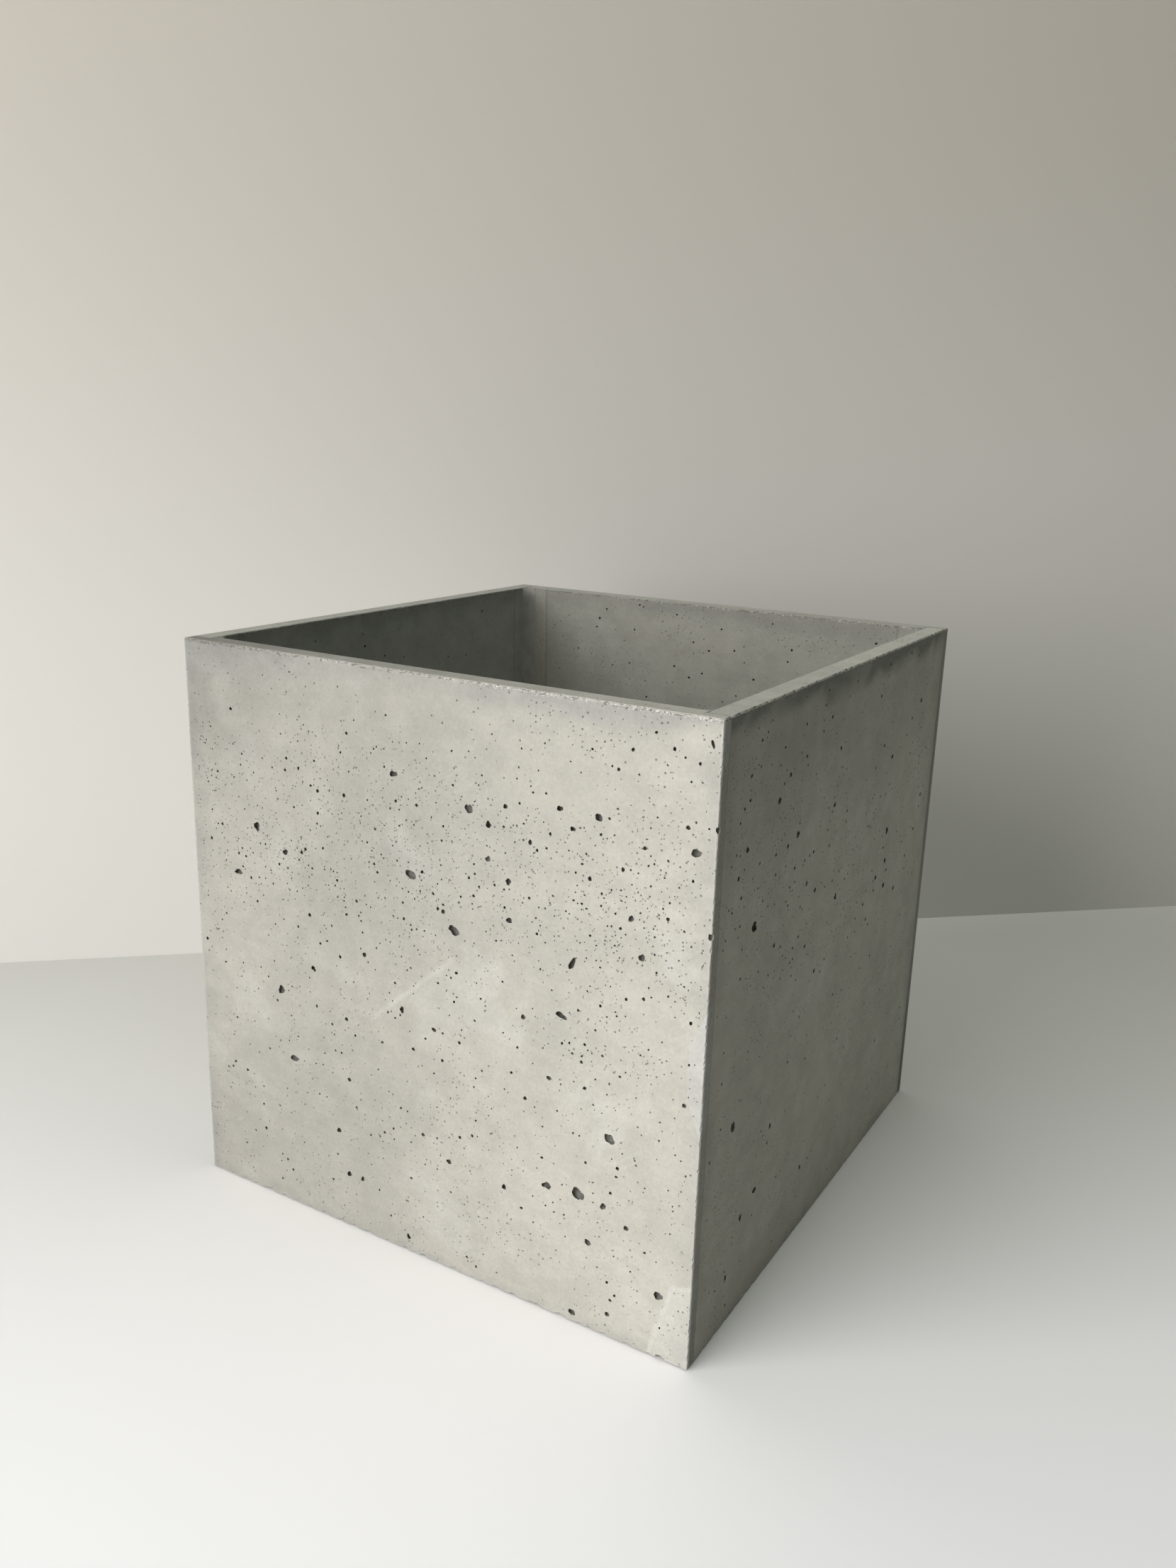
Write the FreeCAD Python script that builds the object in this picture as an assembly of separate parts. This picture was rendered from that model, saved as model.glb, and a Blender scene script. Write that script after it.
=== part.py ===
import FreeCAD, Part
import os

# Square planter of thin concrete slabs, cast flat and bonded together.
# The end slabs, front and rear, lap over the edges of the side slabs, and all four walls lap round the base.
# Millimetres, +Z up. The origin is on the ground under the middle, and the front faces -Y.

# Overall size
WIDTH = 300.0
DEPTH = 306.0
HEIGHT = 302.0

# Slabs and their joints
WALL = 11.0
BASE = 15.0
LAP_SHARE = 0.55  # the outer part of a wall's thickness, which laps over the slab that it meets
BOND = 0.6  # the adhesive in each joint
ARRIS = 0.8  # the eased outer edges

# Mortar coves in the inner corners
COVE_LEG = 6.0
COVE_HOLLOW = 0.8  # how far the middle of a cove's face lies behind a straight bevel

# Glass-fibre scrim cast into the middle of each slab
SCRIM_PITCH = 24.0
SCRIM_STRAND = 3.0
SCRIM_THICK = 0.6
SCRIM_COVER = 8.0  # concrete between the scrim and any edge of the slab

# Drain: a plastic sleeve cast into the base, closed by a rubber plug
DRAIN_BORE = 25.0
SLEEVE_WALL = 2.5
PLUG_CLEARANCE = 0.3
PLUG_TAPER = 1.2  # how much less the radius is at the plug's tip
PLUG_TIP_UP = 6.0  # the plug's tip above the underside of the base
FLANGE_LAP = 3.5  # the flange past the sleeve
FLANGE_THICK = 3.0
NECK_DIAMETER = 9.0
NECK_HEIGHT = 5.0
KNOB_LIP = 3.0  # the knob past its neck
KNOB_THICK = 4.5

# Rubber foot pads, set into pockets under the base
PAD_DIAMETER = 24.0
PAD_SEAT = 1.7  # the depth of the pocket
PAD_PROUD = 0.8  # the pad below the slabs, which holds them off the ground
PAD_CLEARANCE = 0.3
PAD_INSET = 45.0  # from the outer faces to the middle of a pad

# How far a cut runs past what it cuts
OVERRUN = 1.0

# Levels and half sizes that the pieces share
OUT_X = WIDTH / 2
OUT_Y = DEPTH / 2
IN_X = OUT_X - WALL
IN_Y = OUT_Y - WALL
LAP = WALL * LAP_SHARE
LAP_X = OUT_X - LAP
LAP_Y = OUT_Y - LAP
FOOT = PAD_PROUD
FLOOR = FOOT + BASE
SLEEVE_RADIUS = DRAIN_BORE / 2 + SLEEVE_WALL

UP = FreeCAD.Vector(0, 0, 1)
ACROSS = FreeCAD.Vector(1, 0, 0)
CENTRE = FreeCAD.Vector(0, 0, 0)
SIDES_X = {"left": -1, "right": 1}
SIDES_Y = {"front": -1, "rear": 1}


def block(xs, ys, zs):
    """A box between pairs of coordinates, given in either order."""
    low = FreeCAD.Vector(min(xs), min(ys), min(zs))
    return Part.makeBox(abs(xs[1] - xs[0]), abs(ys[1] - ys[0]), abs(zs[1] - zs[0]), low)


def round_bar(radius, bottom, top, x=0, y=0):
    """An upright cylinder between two levels."""
    return Part.makeCylinder(radius, top - bottom, FreeCAD.Vector(x, y, bottom), UP)


def outer_form():
    """The planter's outside as one block, with its upright and top edges eased."""
    form = block((-OUT_X, OUT_X), (-OUT_Y, OUT_Y), (FOOT, HEIGHT))
    eased = [edge for edge in form.Edges if edge.BoundBox.ZMax > FLOOR]
    return form.makeChamfer(ARRIS, eased)


def base_seat():
    """The rebate round the foot of the walls that takes the base slab and its bond."""
    return block((-LAP_X, LAP_X), (-LAP_Y, LAP_Y), (FOOT, FLOOR + BOND))


def wall_piece(shape):
    """A piece of the walls, trimmed to the outer form and to the base slab's seat."""
    return shape.common(outer_form()).cut(base_seat())


def scrim(length, height):
    """A flat net of crossing strands, centred on the origin and lying level."""
    columns = max(1, round((length - SCRIM_STRAND) / SCRIM_PITCH))
    rows = max(1, round((height - SCRIM_STRAND) / SCRIM_PITCH))
    step_x = (length - SCRIM_STRAND) / columns
    step_y = (height - SCRIM_STRAND) / rows
    low = -SCRIM_THICK / 2

    def outline(x, y, wide, deep):
        corners = [(x, y), (x + wide, y), (x + wide, y + deep), (x, y + deep), (x, y)]
        return Part.makePolygon([FreeCAD.Vector(cx, cy, low) for cx, cy in corners])

    wires = [outline(-length / 2, -height / 2, length, height)]
    for column in range(columns):
        for row in range(rows):
            x = -length / 2 + SCRIM_STRAND + column * step_x
            y = -height / 2 + SCRIM_STRAND + row * step_y
            wires.append(outline(x, y, step_x - SCRIM_STRAND, step_y - SCRIM_STRAND))
    return Part.makeFace(wires, "Part::FaceMakerBullseye").extrude(UP * SCRIM_THICK)


def wall_scrim(length):
    """The scrim of a wall, upright along X in the plane Y = 0, clear of the seat for the base."""
    bottom = FLOOR + BOND + SCRIM_COVER
    top = HEIGHT - SCRIM_COVER
    net = scrim(length, top - bottom)
    net.rotate(CENTRE, ACROSS, 90)
    net.translate(UP * ((top + bottom) / 2))
    return net


def end_scrim(side):
    """The scrim of the front or rear slab, which stops short of the rebates at its ends."""
    net = wall_scrim(2 * (IN_X - BOND - SCRIM_COVER))
    net.translate(FreeCAD.Vector(0, side * (OUT_Y - WALL / 2), 0))
    return net


def side_scrim(side):
    """The scrim of the left or right slab."""
    net = wall_scrim(2 * (LAP_Y - BOND - SCRIM_COVER))
    net.rotate(CENTRE, UP, 90)
    net.translate(FreeCAD.Vector(side * (OUT_X - WALL / 2), 0, 0))
    return net


def base_scrim():
    """The scrim of the base slab, cut away round the drain."""
    net = scrim(2 * (LAP_X - BOND - SCRIM_COVER), 2 * (LAP_Y - BOND - SCRIM_COVER))
    net.translate(UP * ((FOOT + FLOOR) / 2))
    return net.cut(round_bar(SLEEVE_RADIUS + SCRIM_COVER, FOOT, FLOOR))


def end_slab(side):
    """The front or rear wall, the full width, with its inner face rebated at both ends."""
    slab = block((-OUT_X, OUT_X), (side * IN_Y, side * OUT_Y), (FOOT, HEIGHT))
    for end in SIDES_X.values():
        across = (end * (IN_X - BOND), end * (OUT_X + OVERRUN))
        deep = (side * (IN_Y - OVERRUN), side * LAP_Y)
        slab = slab.cut(block(across, deep, (FOOT - OVERRUN, HEIGHT + OVERRUN)))
    return wall_piece(slab).cut(end_scrim(side))


def side_slab(side):
    """The left or right wall, whose plain ends sit in the rebates of the end slabs."""
    reach = LAP_Y - BOND
    slab = block((side * IN_X, side * OUT_X), (-reach, reach), (FOOT, HEIGHT))
    return wall_piece(slab).cut(side_scrim(side))


def corner_bond(side_x, side_y):
    """The adhesive in a corner: across the side slab's end, and along its inner face."""
    shoulder = side_x * (IN_X - BOND)
    lap_face = side_y * LAP_Y
    end_face = side_y * (LAP_Y - BOND)
    heights = (FOOT, HEIGHT)
    across = block((shoulder, side_x * OUT_X), (lap_face, end_face), heights)
    along = block((shoulder, side_x * IN_X), (end_face, side_y * IN_Y), heights)
    return wall_piece(across.fuse(along).removeSplitter())


def cove_profile(corner, first, second):
    """The hollow-faced triangle that fills the corner between two directions."""
    start = corner + first * COVE_LEG
    finish = corner + second * COVE_LEG
    inwards = (first + second).normalize()
    middle = (start + finish) / 2 - inwards * COVE_HOLLOW
    face_line = Part.Arc(start, middle, finish).toShape()
    sides = [Part.makeLine(finish, corner), Part.makeLine(corner, start)]
    return Part.Face(Part.Wire([face_line] + sides))


def corner_cove(side_x, side_y):
    """The fillet of mortar up an inner corner, from the floor to the rim."""
    corner = FreeCAD.Vector(side_x * IN_X, side_y * IN_Y, FLOOR)
    profile = cove_profile(corner, FreeCAD.Vector(-side_x, 0, 0), FreeCAD.Vector(0, -side_y, 0))
    return profile.extrude(UP * (HEIGHT - FLOOR))


def base_cove(corner_coves):
    """The four fillets of mortar round the floor, coped to each other and to the upright ones."""
    strips = []
    for side in SIDES_Y.values():
        corner = FreeCAD.Vector(-IN_X, side * IN_Y, FLOOR)
        profile = cove_profile(corner, FreeCAD.Vector(0, -side, 0), UP)
        strips.append(profile.extrude(FreeCAD.Vector(2 * IN_X, 0, 0)))
    end_strips = list(strips)
    for side in SIDES_X.values():
        corner = FreeCAD.Vector(side * IN_X, -IN_Y, FLOOR)
        profile = cove_profile(corner, FreeCAD.Vector(-side, 0, 0), UP)
        strips.append(profile.extrude(FreeCAD.Vector(0, 2 * IN_Y, 0)).cut(end_strips))
    return Part.makeCompound([strip.cut(corner_coves) for strip in strips])


def pad_place(side_x, side_y):
    """The middle of a foot pad."""
    return side_x * (OUT_X - PAD_INSET), side_y * (OUT_Y - PAD_INSET)


def base_block():
    """The base slab's plain block, a bond's thickness inside its seat."""
    reach_x = LAP_X - BOND
    reach_y = LAP_Y - BOND
    return block((-reach_x, reach_x), (-reach_y, reach_y), (FOOT, FLOOR))


def base_slab():
    """The floor of the planter, with the hole for the drain sleeve and the pockets for the pads."""
    slab = base_block().cut(round_bar(SLEEVE_RADIUS, FOOT - OVERRUN, FLOOR + OVERRUN))
    for side_x in SIDES_X.values():
        for side_y in SIDES_Y.values():
            radius = PAD_DIAMETER / 2 + PAD_CLEARANCE
            place = pad_place(side_x, side_y)
            slab = slab.cut(round_bar(radius, FOOT - OVERRUN, FOOT + PAD_SEAT, *place))
    return slab.cut(base_scrim())


def base_bond():
    """The adhesive round the base slab: up its edges, and over the rim that lies under the walls."""
    inside = block((-IN_X, IN_X), (-IN_Y, IN_Y), (FLOOR, HEIGHT))
    return base_seat().cut(base_block()).cut(inside)


def drain_sleeve():
    """The tube cast into the base slab, flush with both of its faces."""
    bore = round_bar(DRAIN_BORE / 2, FOOT - OVERRUN, FLOOR + OVERRUN)
    return round_bar(SLEEVE_RADIUS, FOOT, FLOOR).cut(bore)


def drain_plug():
    """The rubber plug: a tapered body in the sleeve, a flange on the floor and a knob to pull it by."""
    body = DRAIN_BORE / 2 - PLUG_CLEARANCE
    flange = SLEEVE_RADIUS + FLANGE_LAP
    neck = NECK_DIAMETER / 2
    knob = neck + KNOB_LIP
    tip_level = FOOT + PLUG_TIP_UP
    flange_top = FLOOR + FLANGE_THICK
    neck_top = flange_top + NECK_HEIGHT
    knob_top = neck_top + KNOB_THICK
    outline = [
        (0, tip_level),
        (body - PLUG_TAPER, tip_level),
        (body, FLOOR),
        (flange, FLOOR),
        (flange, flange_top),
        (neck, flange_top),
        (neck, neck_top),
        (knob, neck_top),
        (knob, knob_top),
        (0, knob_top),
        (0, tip_level),
    ]
    section = Part.Face(Part.makePolygon([FreeCAD.Vector(x, 0, z) for x, z in outline]))
    return section.revolve(CENTRE, UP, 360)


def foot_pad(side_x, side_y):
    """A round rubber pad, from the ground to the top of its pocket."""
    return round_bar(PAD_DIAMETER / 2, 0, FOOT + PAD_SEAT, *pad_place(side_x, side_y))


def planter():
    """Every piece by name."""
    pieces = {}
    for name, side in SIDES_Y.items():
        pieces[f"{name}_slab"] = end_slab(side)
        pieces[f"{name}_scrim"] = end_scrim(side)
    for name, side in SIDES_X.items():
        pieces[f"{name}_slab"] = side_slab(side)
        pieces[f"{name}_scrim"] = side_scrim(side)
    corner_coves = []
    for name_y, side_y in SIDES_Y.items():
        for name_x, side_x in SIDES_X.items():
            corner = f"{name_y}_{name_x}"
            cove = corner_cove(side_x, side_y)
            corner_coves.append(cove)
            pieces[f"corner_cove_{corner}"] = cove
            pieces[f"corner_bond_{corner}"] = corner_bond(side_x, side_y)
            pieces[f"foot_pad_{corner}"] = foot_pad(side_x, side_y)
    pieces["base_slab"] = base_slab()
    pieces["base_scrim"] = base_scrim()
    pieces["base_bond"] = base_bond()
    pieces["base_cove"] = base_cove(corner_coves)
    pieces["drain_sleeve"] = drain_sleeve()
    pieces["drain_plug"] = drain_plug()
    return pieces


os.makedirs("parts", exist_ok=True)
for node, shape in planter().items():
    shape.exportStep(f"parts/{node}.step")
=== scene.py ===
import math
import random
from collections import namedtuple

import bmesh
import bpy
from mathutils import Matrix, Vector


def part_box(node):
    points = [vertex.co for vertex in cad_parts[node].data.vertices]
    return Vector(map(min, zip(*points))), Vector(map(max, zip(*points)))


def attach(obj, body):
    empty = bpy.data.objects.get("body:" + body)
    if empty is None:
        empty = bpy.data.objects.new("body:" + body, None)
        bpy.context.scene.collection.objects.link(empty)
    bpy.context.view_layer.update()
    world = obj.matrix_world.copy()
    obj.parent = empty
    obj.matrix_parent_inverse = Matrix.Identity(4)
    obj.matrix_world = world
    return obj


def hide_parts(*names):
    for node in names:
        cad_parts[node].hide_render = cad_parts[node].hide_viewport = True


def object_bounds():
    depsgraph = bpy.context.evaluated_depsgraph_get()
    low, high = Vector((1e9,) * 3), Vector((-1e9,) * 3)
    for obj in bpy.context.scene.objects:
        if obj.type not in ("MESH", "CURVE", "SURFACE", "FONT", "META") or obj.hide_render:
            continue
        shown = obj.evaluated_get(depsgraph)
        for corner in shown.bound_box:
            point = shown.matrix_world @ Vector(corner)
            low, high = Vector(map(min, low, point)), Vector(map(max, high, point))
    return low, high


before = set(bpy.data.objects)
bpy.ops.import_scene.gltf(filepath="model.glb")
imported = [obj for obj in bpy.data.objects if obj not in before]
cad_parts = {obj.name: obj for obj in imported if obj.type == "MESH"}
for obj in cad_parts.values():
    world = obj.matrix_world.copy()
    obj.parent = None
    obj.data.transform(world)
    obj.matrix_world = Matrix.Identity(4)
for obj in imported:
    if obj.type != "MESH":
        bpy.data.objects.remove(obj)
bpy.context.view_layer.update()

# Lengths in this file are metres, as in the frame, unless a name says millimetres.
MM = 0.001
X, Y, Z = range(3)
ENDS = {"left": -1, "right": 1}
FACES = {"front": -1, "rear": 1}
CORNERS = [(face, end) for face in FACES for end in ENDS]

# Levels and half sizes, read from the slabs of the frame
outer_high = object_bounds()[1]
OUT_X = outer_high.x
OUT_Y = outer_high.y
RIM = outer_high.z
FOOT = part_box("front_slab")[0].z
IN_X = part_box("right_slab")[0].x
IN_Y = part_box("rear_slab")[0].y
SIDE_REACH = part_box("right_slab")[1].y
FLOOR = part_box("base_slab")[1].z
BASE_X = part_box("base_slab")[1].x
BASE_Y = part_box("base_slab")[1].y
BOND = 0.6 * MM
SLACK = 0.01 * MM

# The camera, from the photograph's perspective
IMAGE_WIDE = 1659
IMAGE_TALL = 2212
SENSOR = 36.0
FOCAL_PIXELS = 1796.3
VIEW_AZIMUTH = math.radians(30.712)
VIEW_ELEVATION = math.radians(15.668)
VIEW_ROLL = math.radians(1.664)
VIEW_PLACE = Vector((0.3515, -0.5946, 0.4097))

level_right = Vector((math.cos(VIEW_AZIMUTH), math.sin(VIEW_AZIMUTH), 0))
view_back = Vector((
    math.sin(VIEW_AZIMUTH) * math.cos(VIEW_ELEVATION),
    -math.cos(VIEW_AZIMUTH) * math.cos(VIEW_ELEVATION),
    math.sin(VIEW_ELEVATION),
))
level_up = view_back.cross(level_right)
view_right = level_right * math.cos(VIEW_ROLL) + level_up * math.sin(VIEW_ROLL)
view_up = level_up * math.cos(VIEW_ROLL) - level_right * math.sin(VIEW_ROLL)

# Air holes that stand out: the pixel of the middle in the photograph, then width and height in millimetres
FRONT_LARGE_HOLES = (
    (579, 1234, 6.6, 4.3), (642, 1314, 6.2, 5.4), (982, 1204, 4.7, 3.9), (554, 1092, 4.4, 3.3),
    (662, 1141, 4.2, 4.9), (689, 1164, 4.0, 3.5), (362, 1165, 4.1, 4.7), (336, 1229, 5.6, 3.4),
    (403, 1202, 3.4, 3.9), (688, 1212, 3.1, 2.6), (845, 1154, 3.8, 3.5), (807, 1169, 3.0, 2.7),
    (789, 1141, 3.3, 3.2), (713, 1138, 2.9, 2.6), (748, 1188, 2.3, 2.9), (807, 1360, 3.0, 7.8),
    (790, 1432, 5.8, 3.6), (905, 1352, 3.3, 3.1), (890, 1296, 2.5, 3.5), (719, 1299, 3.3, 3.3),
    (717, 1243, 3.3, 3.3), (971, 1168, 2.5, 2.2), (738, 1435, 2.8, 2.9), (416, 1493, 6.6, 3.6),
    (398, 1396, 4.4, 5.4), (442, 1366, 3.7, 2.9), (514, 1347, 2.6, 2.8), (480, 1350, 2.1, 2.3),
    (489, 1438, 2.6, 2.3), (567, 1424, 2.9, 3.5), (612, 1453, 2.9, 2.1), (583, 1480, 2.3, 2.5),
    (493, 1523, 2.6, 2.5), (479, 1594, 2.9, 3.0), (597, 1601, 2.5, 2.2), (634, 1639, 3.1, 3.2),
    (493, 1656, 2.9, 3.7), (512, 1663, 2.3, 3.2), (711, 1675, 3.3, 3.2), (577, 1745, 3.0, 3.0),
    (859, 1606, 5.3, 5.2), (814, 1683, 6.6, 7.2), (772, 1673, 5.5, 4.2), (927, 1828, 4.6, 4.5),
    (829, 1753, 3.5, 3.5), (856, 1854, 2.9, 2.6), (851, 1702, 3.5, 3.5), (883, 1733, 2.9, 2.7),
    (965, 1560, 2.6, 2.3), (871, 1649, 2.6, 2.3), (774, 1521, 2.7, 2.3), (437, 1291, 2.5, 2.5),
    (625, 1286, 2.4, 2.6), (485, 1122, 2.4, 2.2), (448, 1116, 2.4, 2.2), (299, 1182, 2.0, 2.4),
)
FRONT_EDGE_HOLES = (
    (806, 1851, 3.8, 3.4), (1013, 1172, 2.6, 3.6), (1003, 1323, 2.4, 3.2), (930, 1915, 5.6, 2.6),
    (376, 1676, 3.4, 2.2), (1006, 1050, 1.8, 4.2),
)
FRONT_SMALL_HOLES = (
    (480, 1061), (637, 1059), (639, 1108), (680, 1094), (438, 1108), (330, 1096), (448, 1147), (425, 1181),
    (752, 1118), (468, 1306), (419, 1257), (544, 1009), (624, 1020), (558, 1130), (563, 1165), (860, 1155),
    (873, 1085), (864, 1081), (893, 1057), (952, 1057), (967, 1069), (988, 1078), (902, 1093), (836, 1057),
    (736, 1056), (926, 1033), (883, 1410), (908, 1410), (879, 1227), (832, 1240), (812, 1231), (780, 1264),
    (849, 1261), (868, 1289), (875, 1310), (942, 1297), (978, 1243), (469, 1445), (447, 1419), (501, 1461),
    (648, 1471), (651, 1453), (624, 1496), (612, 1514), (680, 1511), (503, 1562), (376, 1591), (671, 1581),
    (666, 1602), (399, 1628), (477, 1628), (414, 1650), (399, 1662), (580, 1662), (663, 1652), (735, 1704),
    (752, 1724), (552, 1715), (825, 1474), (850, 1490), (817, 1602), (837, 1559), (915, 1481), (730, 1478),
)
RIGHT_LARGE_HOLES = (
    (1064, 1309, 7.5, 4.6), (1055, 1200, 3.2, 3.0), (1034, 1591, 4.2, 5.6), (1044, 1718, 2.6, 4.6),
    (1064, 1679, 4.6, 3.6), (1086, 1589, 3.0, 2.8), (1023, 1803, 2.6, 4.2), (1128, 1647, 3.0, 3.2),
    (1251, 1172, 4.8, 4.4), (1248, 1214, 4.0, 3.2), (1246, 1249, 3.8, 3.2), (1260, 1253, 3.2, 2.6),
    (1178, 1266, 4.0, 3.8), (1150, 1255, 3.2, 2.8), (1092, 1334, 2.8, 2.6), (1135, 1335, 2.6, 2.4),
    (1116, 1093, 2.9, 2.6), (1100, 1130, 3.5, 3.6), (1178, 1135, 3.2, 2.8), (1187, 1055, 3.2, 2.6),
    (1259, 1067, 3.8, 2.8), (1300, 988, 3.8, 2.8), (1126, 1177, 3.6, 3.8), (1112, 1194, 2.8, 2.6),
    (1042, 1240, 2.8, 2.6), (1138, 1247, 2.8, 2.6), (1235, 1238, 3.6, 2.8), (1148, 1370, 3.2, 2.6),
    (1298, 1120, 3.8, 2.8), (1248, 1052, 2.8, 2.2), (1244, 982, 2.8, 2.2), (1046, 1267, 2.2, 2.0),
    (1095, 1206, 2.2, 1.9), (1121, 1225, 2.4, 2.0), (1217, 1276, 2.6, 2.1), (1221, 1297, 2.6, 2.2),
    (1170, 1193, 2.4, 2.0), (1148, 1202, 2.4, 2.0), (1246, 1196, 2.6, 2.0), (1232, 1256, 2.6, 2.1),
    (1288, 1169, 2.9, 2.1), (1276, 1207, 2.8, 2.1), (1118, 1338, 2.3, 2.0), (1287, 1013, 2.8, 2.2),
    (1139, 1067, 2.4, 2.0), (1059, 1129, 2.2, 1.9), (1061, 1095, 2.2, 1.9), (1076, 1044, 2.2, 2.0),
    (1175, 1011, 2.5, 2.1), (1234, 1468, 2.6, 2.0),
)
RIGHT_SMALL_HOLES = (
    (1041, 1323), (1020, 1341), (1072, 1218), (1076, 1271),
    (1114, 1090), (1038, 1709), (991, 1750), (1033, 1755), (1041, 1754), (1043, 1779), (1008, 1822),
    (1286, 1231), (1194, 1427), (1181, 1574),
)
INNER_LEFT_HOLES = (
    (445, 905), (515, 912), (680, 862), (674, 900), (674, 920), (658, 924), (632, 926), (570, 927),
    (543, 925),
)
INNER_REAR_HOLES = (
    (978, 906), (951, 940), (816, 914), (1117, 917), (1063, 959), (856, 859), (1000, 918), (912, 983),
    (972, 956), (888, 935), (1018, 888), (955, 867), (1038, 982), (1019, 990), (1050, 935), (1111, 934),
    (1036, 918), (1236, 908), (842, 884), (895, 888), (1090, 880), (846, 872), (990, 950), (864, 938),
)
LARGE_HOLE_MM = (2.2, 5.5)
SMALL_HOLE_MM = (1.0, 2.0)
TINY_HOLE_MM = (0.7, 1.4)


def seen_at(pixel, axis, level):
    """The point that shows at a pixel on the plane where one coordinate has the given level."""
    ray = view_right * ((pixel[0] - IMAGE_WIDE / 2) / FOCAL_PIXELS)
    ray -= view_up * ((pixel[1] - IMAGE_TALL / 2) / FOCAL_PIXELS) + view_back
    return VIEW_PLACE + ray * ((level - VIEW_PLACE[axis]) / ray[axis])


# Modelling by hand: select, add, cut, ease and shade

def only(piece):
    """Leave one piece selected and active."""
    bpy.ops.object.select_all(action="DESELECT")
    piece.select_set(True)
    bpy.context.view_layer.objects.active = piece


def settle(name):
    """Name the active object and move its place and size into its mesh."""
    piece = bpy.context.object
    piece.name = name
    piece.data.name = name
    bpy.ops.object.transform_apply(location=True, rotation=True, scale=True)
    return piece


def sorted_corners(one, other):
    """The lowest and the highest corner of the box between two corners."""
    return [min(pair) for pair in zip(one, other)], [max(pair) for pair in zip(one, other)]


def block(name, low, high):
    """A box between two corners."""
    middle = [(a + b) / 2 for a, b in zip(low, high)]
    size = [abs(b - a) for a, b in zip(low, high)]
    bpy.ops.object.select_all(action="DESELECT")
    bpy.ops.mesh.primitive_cube_add(size=1, location=middle, scale=size)
    return settle(name)


def pick(kind, test):
    """In edit mode, select the vertices, edges or faces for which the test of their corners holds."""
    bpy.ops.mesh.select_mode(type=kind)
    bpy.ops.mesh.select_all(action="DESELECT")
    mesh = bpy.context.object.data
    form = bmesh.from_edit_mesh(mesh)
    parts = {"VERT": form.verts, "EDGE": form.edges, "FACE": form.faces}[kind]
    for part in parts:
        corners = [part.co] if kind == "VERT" else [corner.co for corner in part.verts]
        part.select = test(corners)
    form.select_flush_mode()
    bmesh.update_edit_mesh(mesh)


def lie_on(corners, plane):
    """Whether all the corners lie on a plane, given as an axis and a level."""
    axis, level = plane
    return all(abs(corner[axis] - level) < SLACK for corner in corners)


def ease(piece, width, steps, pairs):
    """Round the edges in which the two planes of a pair meet."""
    only(piece)
    bpy.ops.object.mode_set(mode="EDIT")
    pick("EDGE", lambda corners: any(lie_on(corners, a) and lie_on(corners, b) for a, b in pairs))
    bpy.ops.mesh.bevel(offset=width, offset_type="OFFSET", segments=steps, affect="EDGES")
    bpy.ops.object.mode_set(mode="OBJECT")


CELL = 9 * MM


def step(axis, length):
    """A step along one axis."""
    move = Vector((0, 0, 0))
    move[axis] = length
    return move


def divide(piece, axes):
    """Divide the faces of a piece into cells along the given axes, so that few holes fall in one face."""
    corners = [Vector(corner) for corner in piece.bound_box]
    only(piece)
    bpy.ops.object.mode_set(mode="EDIT")
    for axis in axes:
        low = min(corner[axis] for corner in corners)
        high = max(corner[axis] for corner in corners)
        cells = round((high - low) / CELL)
        for number in range(1, cells):
            place = step(axis, low + (high - low) * number / cells)
            bpy.ops.mesh.select_all(action="SELECT")
            bpy.ops.mesh.bisect(plane_co=place, plane_no=step(axis, 1))
    bpy.ops.object.mode_set(mode="OBJECT")


def cut(piece, tool):
    """Take the tool away from a piece."""
    only(piece)
    change = piece.modifiers.new("cut", "BOOLEAN")
    change.show_viewport = False
    change.operation = "DIFFERENCE"
    change.solver = "MANIFOLD"
    change.object = tool
    bpy.ops.object.modifier_apply(modifier=change.name)
    bpy.data.objects.remove(tool, do_unlink=True)


DOUBLED = SLACK / 10


def clean(piece):
    """Merge doubled points and turn all faces outwards."""
    only(piece)
    bpy.ops.object.mode_set(mode="EDIT")
    bpy.ops.mesh.select_all(action="SELECT")
    bpy.ops.mesh.remove_doubles(threshold=DOUBLED)
    bpy.ops.mesh.normals_make_consistent(inside=False)
    bpy.ops.object.mode_set(mode="OBJECT")


def mend(piece):
    """Fill any gap that the cuts have left between the faces."""
    only(piece)
    bpy.ops.object.mode_set(mode="EDIT")
    bpy.ops.mesh.select_mode(type="EDGE")
    bpy.ops.mesh.select_all(action="DESELECT")
    bpy.ops.mesh.select_non_manifold(
        extend=False, use_wire=False, use_multi_face=False, use_non_contiguous=False)
    if any(edge.select for edge in bmesh.from_edit_mesh(piece.data).edges):
        bpy.ops.mesh.fill(use_beauty=True)
        bpy.ops.mesh.select_all(action="SELECT")
        bpy.ops.mesh.normals_make_consistent(inside=False)
    bpy.ops.object.mode_set(mode="OBJECT")


def shade_cast(piece):
    """Keep the flat faces flat, and round the shading of hollows, chips and eased edges."""
    clean(piece)
    mend(piece)
    bpy.ops.object.mode_set(mode="EDIT")
    bpy.ops.mesh.select_all(action="SELECT")
    bpy.ops.mesh.faces_shade_flat()

    def off_axis(corners):
        """Whether a face lies square to no axis."""
        return not any(lie_on(corners, (axis, corners[0][axis])) for axis in (X, Y, Z))

    pick("FACE", off_axis)
    bpy.ops.mesh.faces_shade_smooth()
    bpy.ops.object.mode_set(mode="OBJECT")


def join(pieces, name):
    """Make several objects one."""
    bpy.ops.object.select_all(action="DESELECT")
    for piece in pieces:
        piece.select_set(True)
    bpy.context.view_layer.objects.active = pieces[0]
    if len(pieces) > 1:
        bpy.ops.object.join()
    return settle(name)


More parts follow.
